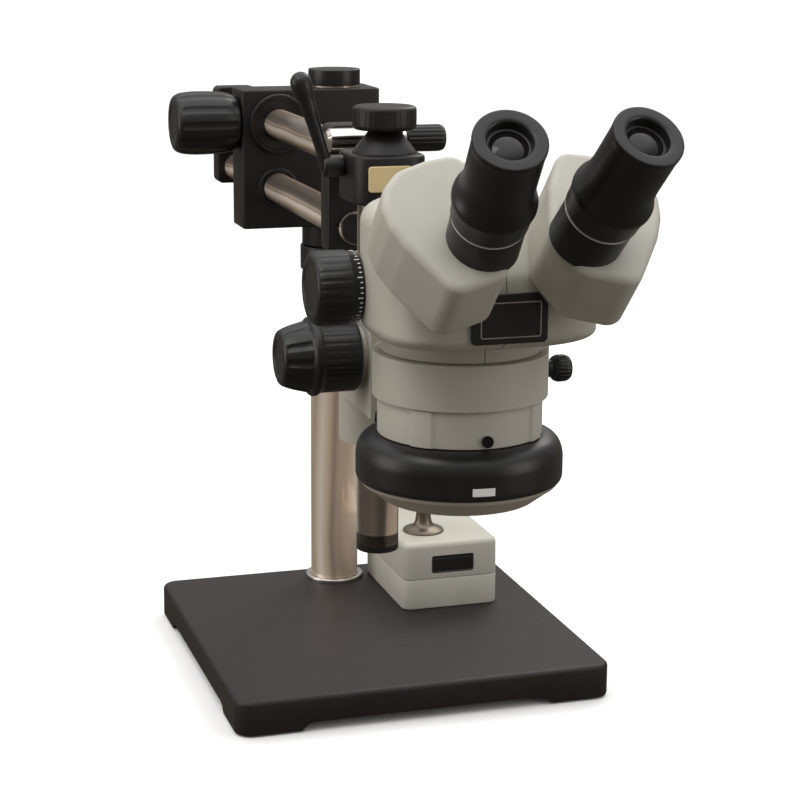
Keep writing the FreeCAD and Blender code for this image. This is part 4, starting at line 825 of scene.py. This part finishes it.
class MICROSCOPE_OT_holder(PieceOperator, bpy.types.Operator):
    """Post holder: a rounded outline with rounded edges under a turned cone, a lug with an arc end,
    a blank plate on the front, and the clamp lever swept as a tube whose radius swells to a bulb"""

    bl_idname = "microscope.holder"
    bl_label = "Post holder"

    def execute(self, context):
        finish = finishes(context.scene.microscope)
        low, high, middle = span("post_housing")
        left, right, front = low[0], high[0], low[1]
        back, top = high[1] - 20.0, high[2] - 13.0
        shape = [(left, front), (right, front), (right, back), (left, back)]
        block = slab(shape, 13.0, low[2], top, 2.0, corner_steps=10)
        knob = span("post_lock_knob")[2]
        cone = [(0, top - 4, 0), (18.4, top - 4, 0), (18.4, top + 0.6, 0.8), (8.6, high[2], 0.8),
                (0, high[2], 0)]
        cone = turned((knob[0], knob[1], 0), Z_AXIS, soften(cone))
        axle = span("tilt_axle")[2]
        beside = FRONT_LUG_LEFT + LUG_WIDTH + LUG_GAP
        ear = lug(-axle[1] - LUG_HALF, 4.0 - back, axle[2], [8.5, 0.5, 0.5, 8.5], beside)
        piece("post_holder_casting", [block, cone, ear], finish["black_block"], "post_holder",
              ["post_housing"])
        low, high, middle = span("housing_label")
        size = high - low
        grid = slab(rectangle(size[0], size[2]), 1.8, -0.4, size[1], 0.5)
        grid = facing_front(grid, middle[0], high[1], middle[2])
        piece("holder_blank_plate", [grid], finish["cream"], "post_holder", ["housing_label"])
        low, high, middle = span("clamp_lever")
        foot = np.array([high[0] - 17.65, middle[1], low[2] + 6.25])
        tip = np.array([low[0] + 6.5, foot[1], high[2] - 6.5])
        length = 20.6
        hub = [(0, 0, 0), (6.2, 0, 0.6), (6.2, 4, 0.6), (5.4, 5, 0.6), (5.4, 8, 0.6), (6.2, 9, 0.6)]
        hub += [(6.2, length, 2), (0, length, 0)]
        base = turned((high[0], foot[1], foot[2]), -X_AXIS, soften(hub), 64)
        path = [foot + (tip - foot) * t for t in (0.0, 0.2, 0.5, 0.8, 0.93, 1.0)]
        arm = swept(path, [4.4, 3.6, 3.9, 4.8, 6.0, 6.1])
        piece("clamp_lever_arm", [base, arm], finish["black_plastic"], "lever", ["clamp_lever"],
              50)
        return {"FINISHED"}


class MICROSCOPE_OT_post(PieceOperator, bpy.types.Operator):
    """Drop post and its end cap: profiles of radius over height turned round the post's axis"""

    bl_idname = "microscope.post"
    bl_label = "Drop post"

    def execute(self, context):
        values, finish = settings_of(context)
        low, high, middle = span("drop_post")
        r = (high - low)[0] / 2
        # The post's plating carries painted reflections and highlights in lengthwise bands.
        plate = painted_reflection_plating("finish_post_plating_painted_reflection", middle, "Z", values.painted_reflection_tint[:3], POST_REFLECTION_BANDS)
        profile = [(0, low[2], 0), (r, low[2], 0.6)] + [(r, h, 0)
                                                        for h in np.linspace(low[2] + 2,
                                                                             high[2] - 2, 18)]
        profile = soften(profile + [(r, high[2], 0.5), (0, high[2], 0)])
        centre = (middle[0], middle[1], 0)
        piece("drop_post_bar", [turned(centre, Z_AXIS, profile)], plate, "hanging_post",
              ["drop_post"])
        low, high, middle = span("post_end_cap")
        r = (high - low)[0] / 2
        profile = soften([(0, low[2], 0), (r, low[2], 0.5), (r, high[2], 0.3), (0, high[2], 0)])
        cap = turned(centre, Z_AXIS, profile)
        piece("drop_post_foot", [cap], finish["black_plastic"], "hanging_post", ["post_end_cap"])
        return {"FINISHED"}


# ---------------------------------------------------------------- focus mount


class MICROSCOPE_OT_focus_knobs(PieceOperator, bpy.types.Operator):
    """Focus knobs: a profile with a fine-fluted drum, a flange and a deep-scalloped cone, turned
    outwards from each side of the rack housing"""

    bl_idname = "microscope.focus_knobs"
    bl_label = "Focus knobs"

    def execute(self, context):
        finish = finishes(context.scene.microscope)
        low, high, middle = span("focus_knobs")
        r = (high - low)[2] / 2
        body_low, body_high, _ = span("focus_body")
        left, right = body_low[0] - 0.5, body_high[0] + 0.5
        grids = []
        for start, axis, length in ((left, -X_AXIS, left - low[0]),
                                    (right, X_AXIS, high[0] - right)):
            points = [(0, 0, 0), (r - 3, 0, 0), (r - 1.6, 1.4, 0.8), (r - 1.6, length * 0.5, 0),
                      (r, length * 0.53, 1)]
            points += [(r, length * 0.6, 1), (r - 1.6, length * 0.63, 0.8),
                       (r - 2.2, length * 0.64, 1)]
            points += [(r - 4.6, length * 0.86, 5), (r - 7.2, length, 3.5), (r - 12, length, 0.6)]
            points += [(r - 12.6, length - 0.7, 0.4), (0, length - 0.7, 0)]
            shape = flutes((2.2, length * 0.49, 30, 0.3), (length * 0.635, length - 1.6, 12, 1.0))
            dense = soften(points)
            at = np.linspace(0, len(dense) - 1, len(dense) * 2)
            dense = np.stack([np.interp(at, np.arange(len(dense)), dense[:, k]) for k in (0, 1)],
                             axis=1)
            grids.append(turned((start, middle[1], middle[2]), axis, dense, 360, shape))
        piece("focus_grips", grids, finish["black_plastic"], "focus_drive", ["focus_knobs"],
              50)
        return {"FINISHED"}


class MICROSCOPE_OT_mount_ring(PieceOperator, bpy.types.Operator):
    """Mount ring: a closed profile turned round the head's axis with a raised boss for the lock
    screw, and a neck with rounded edges back to the slide"""

    bl_idname = "microscope.mount_ring"
    bl_label = "Mount ring"

    def execute(self, context):
        finish = finishes(context.scene.microscope)
        low, high, head = span("head_barrel")
        bore = (high - low)[0] / 2 + CLEAR
        low, high, _ = span("mount_ring")
        outer = (high - low)[0] / 2
        half, fade, rise = math.radians(11), math.radians(2), 1.3
        loop = [(bore, low[2], 0.4), (outer, low[2], 0.5), (outer, high[2], 0.5),
                (bore, high[2], 0.4)]

        def boss(radius, height, angle):
            near = np.clip((half - np.abs(np.angle(np.exp(1j * angle)))) / fade, 0, 1)
            return radius + rise * near * (radius > outer - 1)

        ring = turned((head[0], head[1], 0), Z_AXIS, soften(loop, True), 180, boss)
        x, y = head[0], head[1] + 39.0
        shape = [(x - 16, y), (x + 16, y), (x + 15, high[1]), (x - 15, high[1])]
        neck = slab(shape, 1.5, low[2] + 0.3, high[2] - 0.3, 1.0)
        piece("mount_ring_casting", [ring, neck], finish["grey_casting"], "carriage",
              ["mount_ring"])
        return {"FINISHED"}


# ---------------------------------------------------------------- head


class MICROSCOPE_OT_head(PieceOperator, bpy.types.Operator):
    """Head casing: superellipses, of power 5 in front and 2.3 behind, go round at rising heights;
    below they blend along a quarter ellipse into the round neck, above they draw in along a
    quarter circle, and the front is cut back along the eyepieces' plane with a soft crease"""

    bl_idname = "microscope.head"
    bl_label = "Head"

    def execute(self, context):
        values, finish = settings_of(context)
        low, high, _ = span("head_casing")
        barrel = span("head_barrel")[2]
        angle = np.linspace(0.0, 2 * math.pi, 200, endpoint=False)
        c, s = np.cos(angle), np.sin(angle)
        top, neck, under = high[2], low[2], low[2] + 9.0
        neck_radius, shoulder = 41.8, 10.0
        power = np.where(s > 0, 2 / 2.3, 2 / 5)

        def ring(radius):
            return np.stack([barrel[0] + radius * c, barrel[1] + radius * s], axis=1)

        def lobe(inset):
            x = barrel[0] + (LOBE_WIDE - inset) * np.sign(c) * np.abs(c) ** power
            y = barrel[1] - LOBE_AHEAD + (LOBE_DEEP - inset) * np.sign(s) * np.abs(s) ** power
            return np.stack([x, y], axis=1)

        levels = [(ring(38), neck), (ring(neck_radius - 0.6), neck)]
        levels += [(ring(neck_radius), neck + 0.6), (ring(neck_radius), under - 1.5)]
        for t in np.linspace(0.0, 1.0, 16) ** 1.6:
            blend = math.sqrt(1 - (1 - t) ** 2)
            outer = (1 - blend) * ring(neck_radius) + blend * lobe(0.0)
            levels.append((outer, under + 10.0 * t))
        levels += [(lobe(0.0), z) for z in np.linspace(under + 11, top - shoulder - 0.5, 26)]
        for b in np.linspace(0.0, math.pi / 2, 10):
            levels.append((lobe(shoulder * (1 - math.cos(b))), top - shoulder * (1 - math.sin(b))))
        levels += [(lobe(inset), top) for inset in (11, 20, 35, 50)]
        grid = stacked(levels)
        slope_from, soft = 707.6, 2.5
        slope = grid[..., 2] - slope_from
        gap = grid[..., 1] - slope
        grid[..., 1] = slope + 0.5 * (gap + np.sqrt(gap**2 + soft**2))
        parting_line = (-0.0475, -0.34)
        paintwork = paint("finish_head_casing", values.paint_colour[:3], 0.5, bump=0.22, grain=2400,
                          vary=0.04, gloss=0.4, seam=parting_line)
        piece("head_casing_shell", [grid], paintwork, "head", ["head_casing"], 60)
        low, high, middle = span("port_cap")
        r = (high - low)[0] / 2
        cap = [(0, low[2], 0), (r * 0.87, low[2], 0), (r * 0.87, low[2] + 9, 0.5),
               (r, low[2] + 10, 0.5)]
        cap += [(r, high[2], 1.6), (0, high[2], 0)]
        cap = turned((middle[0], middle[1], 0), Z_AXIS, soften(cap), 144,
                     flutes((low[2] + 10, high[2], 30, 0.25)))
        piece("port_cap_turning", [cap], finish["black_plastic"], "head", ["port_cap"],
              50)
        return {"FINISHED"}


class MICROSCOPE_OT_barrel(PieceOperator, bpy.types.Operator):
    """Head barrel and light adapter: closed profiles turned round the head's axis; the adapter's
    radius rises on four pads by a smooth step of the angle"""

    bl_idname = "microscope.barrel"
    bl_label = "Barrel and adapter"

    def execute(self, context):
        values, finish = settings_of(context)
        low, high, middle = span("head_barrel")
        r = (high - low)[0] / 2
        loop = [(r - 8, low[2], 0.5), (r, low[2], 0.6), (r, high[2], 0.3), (r - 8, high[2], 0.3)]
        grid = turned((middle[0], middle[1], 0), Z_AXIS, soften(loop, True))
        piece("head_barrel_turning", [grid], finish["grey_casting"], "head", ["head_barrel"])
        low, high, middle = span("ring_adapter")
        outer, rise = (high - low)[0] / 2, values.pad_rise * 1000.0
        skirt, bore, spigot, seat = span("ring_light")[1][2], 31.2, 35.0, r + CLEAR
        half, fade = math.radians(8.6), math.radians(1.2)
        loop = [(bore, low[2], 0.4), (spigot, low[2], 0.6), (spigot, skirt + 0.6, 0.5)]
        loop += [(outer, skirt + 0.4, 0.5), (outer, high[2], 0.5), (seat, high[2], 0.4)]
        loop += [(seat, skirt + 3, 0), (bore, skirt + 3, 0)]

        def pads(radius, height, angle):
            off = np.abs(np.angle(np.exp(4j * (angle - math.pi / 4)))) / 4
            t = np.clip((half - off) / fade, 0, 1)
            return radius - rise * (1 - t * t * (3 - 2 * t)) * (radius > outer - 1)

        grid = turned((middle[0], middle[1], 0), Z_AXIS, soften(loop, True), 360, pads)
        piece("light_adapter", [grid], finish["grey_casting"], "head", ["ring_adapter"])
        return {"FINISHED"}


class MICROSCOPE_OT_ring_light(PieceOperator, bpy.types.Operator):
    """Ring light: a closed profile with a broad rounded shoulder turned round the head's axis, a
    diffuser cone under it, and a blank label bent round the drum"""

    bl_idname = "microscope.ring_light"
    bl_label = "Ring light"

    def execute(self, context):
        values, finish = settings_of(context)
        low, high, middle = span("ring_light")
        outer, inner = (high - low)[0] / 2, 38.0
        centre = (middle[0], middle[1], 0)
        loop = [(inner, low[2], 0.3), (outer - 0.8, low[2], 0.6), (outer, low[2] + 2, 1),
                (outer, high[2] - 9, 4)]
        loop += [(outer - 2.5, high[2] - 3, 4), (outer - 8, high[2], 4), (inner, high[2], 0.6)]
        grid = turned(centre, Z_AXIS, soften(loop, True, 8), 160)
        piece("ring_light_housing", [grid], finish["black_plastic"], "head", ["ring_light"],
              50)
        bottom, top = span("ring_diffuser")[0][2], low[2]
        loop = [(inner + 0.2, top, 0), (52.2, top, 0.3), (51.6, top - 2.2, 1.2),
                (49.2, top - 3.6, 1.0)]
        loop += [(40.2, bottom + 0.4, 1.0), (inner + 0.9, bottom, 0.4),
                 (inner + 0.2, bottom + 1.5, 0.4)]
        grid = turned(centre, Z_AXIS, soften(loop, True), 160)
        piece("ring_light_cone", [grid], finish["diffuser"], "head", ["ring_diffuser"],
              50)
        half, facing = values.label_width * 500.0 / outer, math.radians(-95.4)
        angle = facing + np.linspace(-half, half, 16)
        reach = outer + np.array([-0.2, 0.25, 0.25, -0.2])
        height = low[2] + 3.4 + np.array([0.0, 0.0, 4.0, 4.0])
        rows = [centre + np.stack([reach * np.cos(a), reach * np.sin(a), height], axis=-1)
                for a in angle]
        ends = [np.broadcast_to(row.mean(axis=0), row.shape) for row in (rows[0], rows[-1])]
        label = np.array([ends[0], *rows, ends[1]])
        white = paint("finish_blank_label", (0.8, 0.8, 0.78), 0.5, bump=0.02, vary=0.05)
        piece("ring_light_label", [label], white, "head", ["ring_light"])
        return {"FINISHED"}


class MICROSCOPE_OT_nameplate(PieceOperator, bpy.types.Operator):
    """Blank nameplate: a rounded outline with one cut corner and rounded edges, with a thin metal
    line laid inside its rim"""

    bl_idname = "microscope.nameplate"
    bl_label = "Nameplate"

    def execute(self, context):
        finish = finishes(context.scene.microscope)
        low, high, middle = span("nameplate")
        a, b = (high - low)[0] / 2, (high - low)[2] / 2
        shape = [(-a, -b), (a, -b), (a, b - 6), (a - 5, b), (-a, b)]
        grid = slab(shape, [2.5, 2.5, 1.5, 1.5, 2.5], 0.0, (high - low)[1], 0.5)
        grid = facing_front(grid, middle[0], high[1], middle[2])
        piece("head_nameplate", [grid], finish["label_black"], "head", ["nameplate"])
        border, front = rectangle(2 * a - 8, 2 * b - 7), (high - low)[1]
        rows = [(0.0, front - 0.1), (0.0, front + 0.15), (0.55, front + 0.15), (0.55, front - 0.1)]
        rings = [(outline(border, 1.4, inset), height) for inset, height in rows]
        line = np.array([np.column_stack([ring, np.full(len(ring), z)]) for ring, z in rings])
        line = facing_front(line, middle[0] + 0.5, high[1], middle[2] - 0.5)
        piece("nameplate_line", [line], finish["steel"], "head", ["nameplate"])
        return {"FINISHED"}


class MICROSCOPE_OT_zoom_knobs(PieceOperator, bpy.types.Operator):
    """Zoom knobs: a profile turned round the zoom shaft with shallow flutes, and a row of small
    pale scale marks round each inner end"""

    bl_idname = "microscope.zoom_knobs"
    bl_label = "Zoom knobs"

    def execute(self, context):
        finish = finishes(context.scene.microscope)
        low, high, middle = span("zoom_knobs")
        r = (high - low)[2] / 2
        knobs, marks = [], []
        reach, count = LOBE_WIDE + 0.35, 44
        for axis in (-X_AXIS, X_AXIS):
            start = middle[0] + axis[0] * reach
            length = abs((low[0] if axis[0] < 0 else high[0]) - start)
            points = [(0, 0, 0), (r - 0.8, 0, 0.5), (r - 0.5, 5.2, 0), (r, 5.6, 0.3), (r, 12, 0),
                      (r, length - 3, 1.5)]
            points += [(r - 2.2, length, 1.5), (r - 6, length, 0.5), (r - 6.6, length - 0.5, 0.4),
                       (0, length - 0.5, 0)]
            shape = flutes((5.6, length - 1.0, 26, 0.3))
            centre = np.array([start, middle[1], middle[2]])
            knobs.append(turned(centre, axis, soften(points), 320, shape))
            first, second = across(axis)
            for k in range(count):
                t = 2 * math.pi * k / count
                long = 2.6 if k % 4 == 0 else 1.5
                out = math.cos(t) * first + math.sin(t) * second
                side = np.cross(axis, out)
                ring = outline(rectangle(0.55, long), 0.05, 0, 2)
                mark = stacked([(ring, -0.3), (ring, 0.12)])
                place = centre + out * (r - 0.6) + axis * (1.0 + long / 2)
                marks.append(placed(mark, place, side, axis, out))
        piece("zoom_grips", knobs, finish["black_plastic"], "zoom", ["zoom_knobs"],
              50)
        white = paint("finish_scale_marks", (0.75, 0.75, 0.72), 0.5, bump=0.02, vary=0.05)
        piece("zoom_scale_marks", marks, white, "zoom", ["zoom_knobs"])
        return {"FINISHED"}


class MICROSCOPE_OT_eyes(PieceOperator, bpy.types.Operator):
    """Prism housings, eye tubes, eyepieces and their lenses: each housing is a many-sided outline
    with rounded corners and edges standing on the sloped plane, and the rest are profiles turned
    round the optical axis"""

    bl_idname = "microscope.eyes"
    bl_label = "Eyepieces"

    def execute(self, context):
        finish = finishes(context.scene.microscope)
        right = [(8, -38), (18, -60), (44.5, -68.5), (54, -54), (62, -41.5), (67, -30), (69, -18),
                 (66, -7.5)]
        right += [(57.5, 2.5), (42, 8.5), (25, 11.5), (15, -10)]
        radii = [12, 10, 9, 16, 16, 16, 16, 14, 14, 16, 9, 20]
        line = paint("finish_eye_line", (0.6, 0.6, 0.58), 0.4, bump=0.02, vary=0.05)
        for side, sign in (("left", -1.0), ("right", 1.0)):
            shape, curve = right, radii
            if sign < 0:
                shape, curve = [(-x, y) for x, y in right[::-1]], radii[::-1]
            grid = slab(shape, curve, -38.6, 0.0, 4.0, steps=8, along=4, corner_steps=8)
            grid = placed(grid, EYE_ORIGIN, X_AXIS, EYE_UP, EYE_OUT)
            body = "eye_" + side
            piece("prism_box_" + side, [grid], finish["grey_casting"], body,
                  ["prism_housing_" + side],
                  50)
            axis = sign * math.sin(EYE_SPLAY) * X_AXIS + math.cos(EYE_SPLAY) * EYE_OUT
            foot = EYE_ORIGIN + sign * EYE_HALF_SPACING * X_AXIS - EYE_DROP * EYE_UP
            tube = [(0, -3, 0), (17.5, -3, 0), (17.5, 17.4, 0), (17.2, 17.6, 0), (17.2, 18.8, 0.3),
                    (0, 18.8, 0)]
            piece("eye_tube_turning_" + side, [turned(foot, axis, soften(tube))],
                  finish["black_plastic"], body,
                  ["eye_tube_" + side])
            ring = soften([(17.2, 17.7, 0), (17.75, 17.7, 0.1), (17.75, 18.5, 0.1),
                           (17.2, 18.5, 0)], True)
            piece("eye_tube_line_" + side, [turned(foot, axis, ring)], line, body,
                  ["eye_tube_" + side])
            cup = [(12, 19.4, 0), (18.2, 19.4, 0.4), (18.4, 25, 0), (19.7, 31.5, 1.4),
                   (19.5, 33.6, 0.8)]
            cup += [(17.3, 38.5, 3), (16.5, 45, 4), (16.5, 68, 2), (16.9, 71.5, 1),
                    (16.7, 73.3, 1.0)]
            cup += [(11.6, 73.3, 0.8), (10.2, 72.4, 0.7), (9.8, 68.3, 0), (7, 67.6, 0), (7, 30, 0),
                    (12, 30, 0)]
            body = "ocular_" + side
            piece("eyepiece_barrel_" + side, [turned(foot, axis, soften(cup, True), 128)],
                  finish["black_plastic"],
                  body, ["eyepiece_" + side], 50)
            back, rim, crown = 66.4, 9.6, 70.6
            edge = back + 1.2
            radii_out = np.linspace(rim, 0, 14)
            dome = [(r, edge + (crown - edge) * (1 - (r / rim) ** 2), 0) for r in radii_out]
            lens = soften([(0, back, 0), (rim, back, 0)] + dome)
            piece("eye_lens_dome_" + side, [turned(foot, axis, lens)], finish["glass"], body,
                  ["eye_lens_" + side],
                  60)
        return {"FINISHED"}


class MICROSCOPE_OT_carried(PieceOperator, bpy.types.Operator):
    """Finishes for the CAD nodes that are shown as they are, by their record slot"""

    bl_idname = "microscope.carried"
    bl_label = "Carried nodes"

    def execute(self, context):
        finish = finishes(context.scene.microscope)
        slots = {part["node"]: part["material_slot"] for part in frame["record"]["subparts"]}
        for name, node in frame["nodes"].items():
            node.data.materials.clear()
            node.data.materials.append(finish[slots[name]])
        return {"FINISHED"}


# ---------------------------------------------------------------- stage


class MICROSCOPE_OT_stage(PieceOperator, bpy.types.Operator):
    """Pale floor, soft overhead dome, four soft boxes and the camera"""

    bl_idname = "microscope.stage"
    bl_label = "Stage"

    def execute(self, context):
        values = context.scene.microscope
        floor_mesh = bpy.data.meshes.new("floor")
        corners = [(x, y, 0.0) for x, y in rectangle(60.0, 60.0)]
        floor_mesh.from_pydata(corners, [], [(0, 1, 2, 3)])
        floor = bpy.data.objects.new("floor", floor_mesh)
        floor_mesh.materials.append(
            paint("finish_floor", values.floor_colour[:3], 0.75, bump=0.02, grain=300, vary=0.01,
                  gloss=0.2)
        )
        context.scene.collection.objects.link(floor)
        floor.visible_diffuse = False
        floor.visible_glossy = False
        lights, aim_at = [floor], Vector((-0.04, -0.15, 0.25))
        for name, place, size, power in (
            ("soft_box_left", (-1.1, -0.7, 1.7), 0.8, 5.0),
            ("soft_box_side", (-1.9, 0.1, 0.55), 1.1, 10.0),
            ("soft_box_right", (1.3, -1.3, 0.5), 0.9, 6.0),
            ("soft_box_back", (0.9, 0.9, 1.3), 0.7, 6.0),
        ):
            data = bpy.data.lights.new(name, "AREA")
            data.size, data.energy, data.color = size, power, (1.0, 0.97, 0.93)
            lamp = bpy.data.objects.new(name, data)
            lamp.location = place
            aim = aim_at - lamp.location
            lamp.rotation_euler = aim.to_track_quat("-Z", "Y").to_euler()
            context.scene.collection.objects.link(lamp)
            lights.append(lamp)
        world = bpy.data.worlds.new("soft_dome")
        context.scene.world = world
        world.use_nodes = True
        tree = world.node_tree
        back = tree.nodes["Background"]
        parts = tree.nodes.new("ShaderNodeSeparateXYZ")
        wire(tree, tree.nodes.new("ShaderNodeTexCoord").outputs["Generated"],
             parts.inputs["Vector"])
        height = sum_of(tree, "MULTIPLY_ADD", parts.outputs["Z"], 0.5, 0.5)
        tone = ramp(tree, height, [
            (0.0, (0.07, 0.064, 0.052)), (0.45, (0.085, 0.077, 0.063)), (0.52, (0.11, 0.103, 0.09)),
            (0.75, (0.27, 0.27, 0.27)), (0.90, (0.92, 0.92, 0.92)), (1.0, (1.05, 1.05, 1.05)),
        ])
        wire(tree, tone, back.inputs["Color"])
        back.inputs["Strength"].default_value = 1.9 * values.dome_strength
        camera = bpy.data.cameras.new("camera")
        camera.lens, camera.sensor_width = 91.77, 36.0
        camera.clip_start, camera.clip_end = 0.05, 80.0
        eye = bpy.data.objects.new("camera", camera)
        right, up = (0.95494, -0.29672, 0.0071), (0.06218, 0.22338, 0.97275)
        ahead = (0.29022, 0.92847, -0.23176)
        turn = Matrix((right, up, [-value for value in ahead])).transposed().to_4x4()
        turn.translation = (-0.38207, -1.27848, 0.49764)
        eye.matrix_world = turn
        context.scene.collection.objects.link(eye)
        context.scene.camera = eye
        context.scene.view_settings.view_transform = "Standard"
        return {"FINISHED"}


# ---------------------------------------------------------------- add-on


OPERATORS = (
    MICROSCOPE_OT_carried,
    MICROSCOPE_OT_base,
    MICROSCOPE_OT_pole,
    MICROSCOPE_OT_power_box,
    MICROSCOPE_OT_carrier,
    MICROSCOPE_OT_lock_knobs,
    MICROSCOPE_OT_boom,
    MICROSCOPE_OT_holder,
    MICROSCOPE_OT_post,
    MICROSCOPE_OT_focus_knobs,
    MICROSCOPE_OT_mount_ring,
    MICROSCOPE_OT_head,
    MICROSCOPE_OT_barrel,
    MICROSCOPE_OT_ring_light,
    MICROSCOPE_OT_nameplate,
    MICROSCOPE_OT_zoom_knobs,
    MICROSCOPE_OT_eyes,
    MICROSCOPE_OT_stage,
)


class MICROSCOPE_PT_panel(bpy.types.Panel):
    """The microscope's operators and settings"""

    bl_idname = "MICROSCOPE_PT_panel"
    bl_label = "Stereo microscope"
    bl_space_type = "VIEW_3D"
    bl_region_type = "UI"
    bl_category = "Microscope"

    def draw(self, context):
        values = context.scene.microscope
        for name in values.bl_rna.properties.keys():
            if name not in ("rna_type", "name"):
                self.layout.prop(values, name)
        for operator in OPERATORS:
            self.layout.operator(operator.bl_idname)


CLASSES = (MicroscopeSettings, *OPERATORS, MICROSCOPE_PT_panel)


def register():
    """Add the classes and the scene's settings."""
    for item in CLASSES:
        bpy.utils.register_class(item)
    bpy.types.Scene.microscope = bpy.props.PointerProperty(type=MicroscopeSettings)


def unregister():
    """Take away what register adds."""
    del bpy.types.Scene.microscope
    for item in reversed(CLASSES):
        bpy.utils.unregister_class(item)


def main():
    """Build the whole scene."""
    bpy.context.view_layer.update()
    register()
    for operator in OPERATORS:
        group, name = operator.bl_idname.split(".")
        getattr(getattr(bpy.ops, group), name)()


if __name__ == "__main__":
    main()
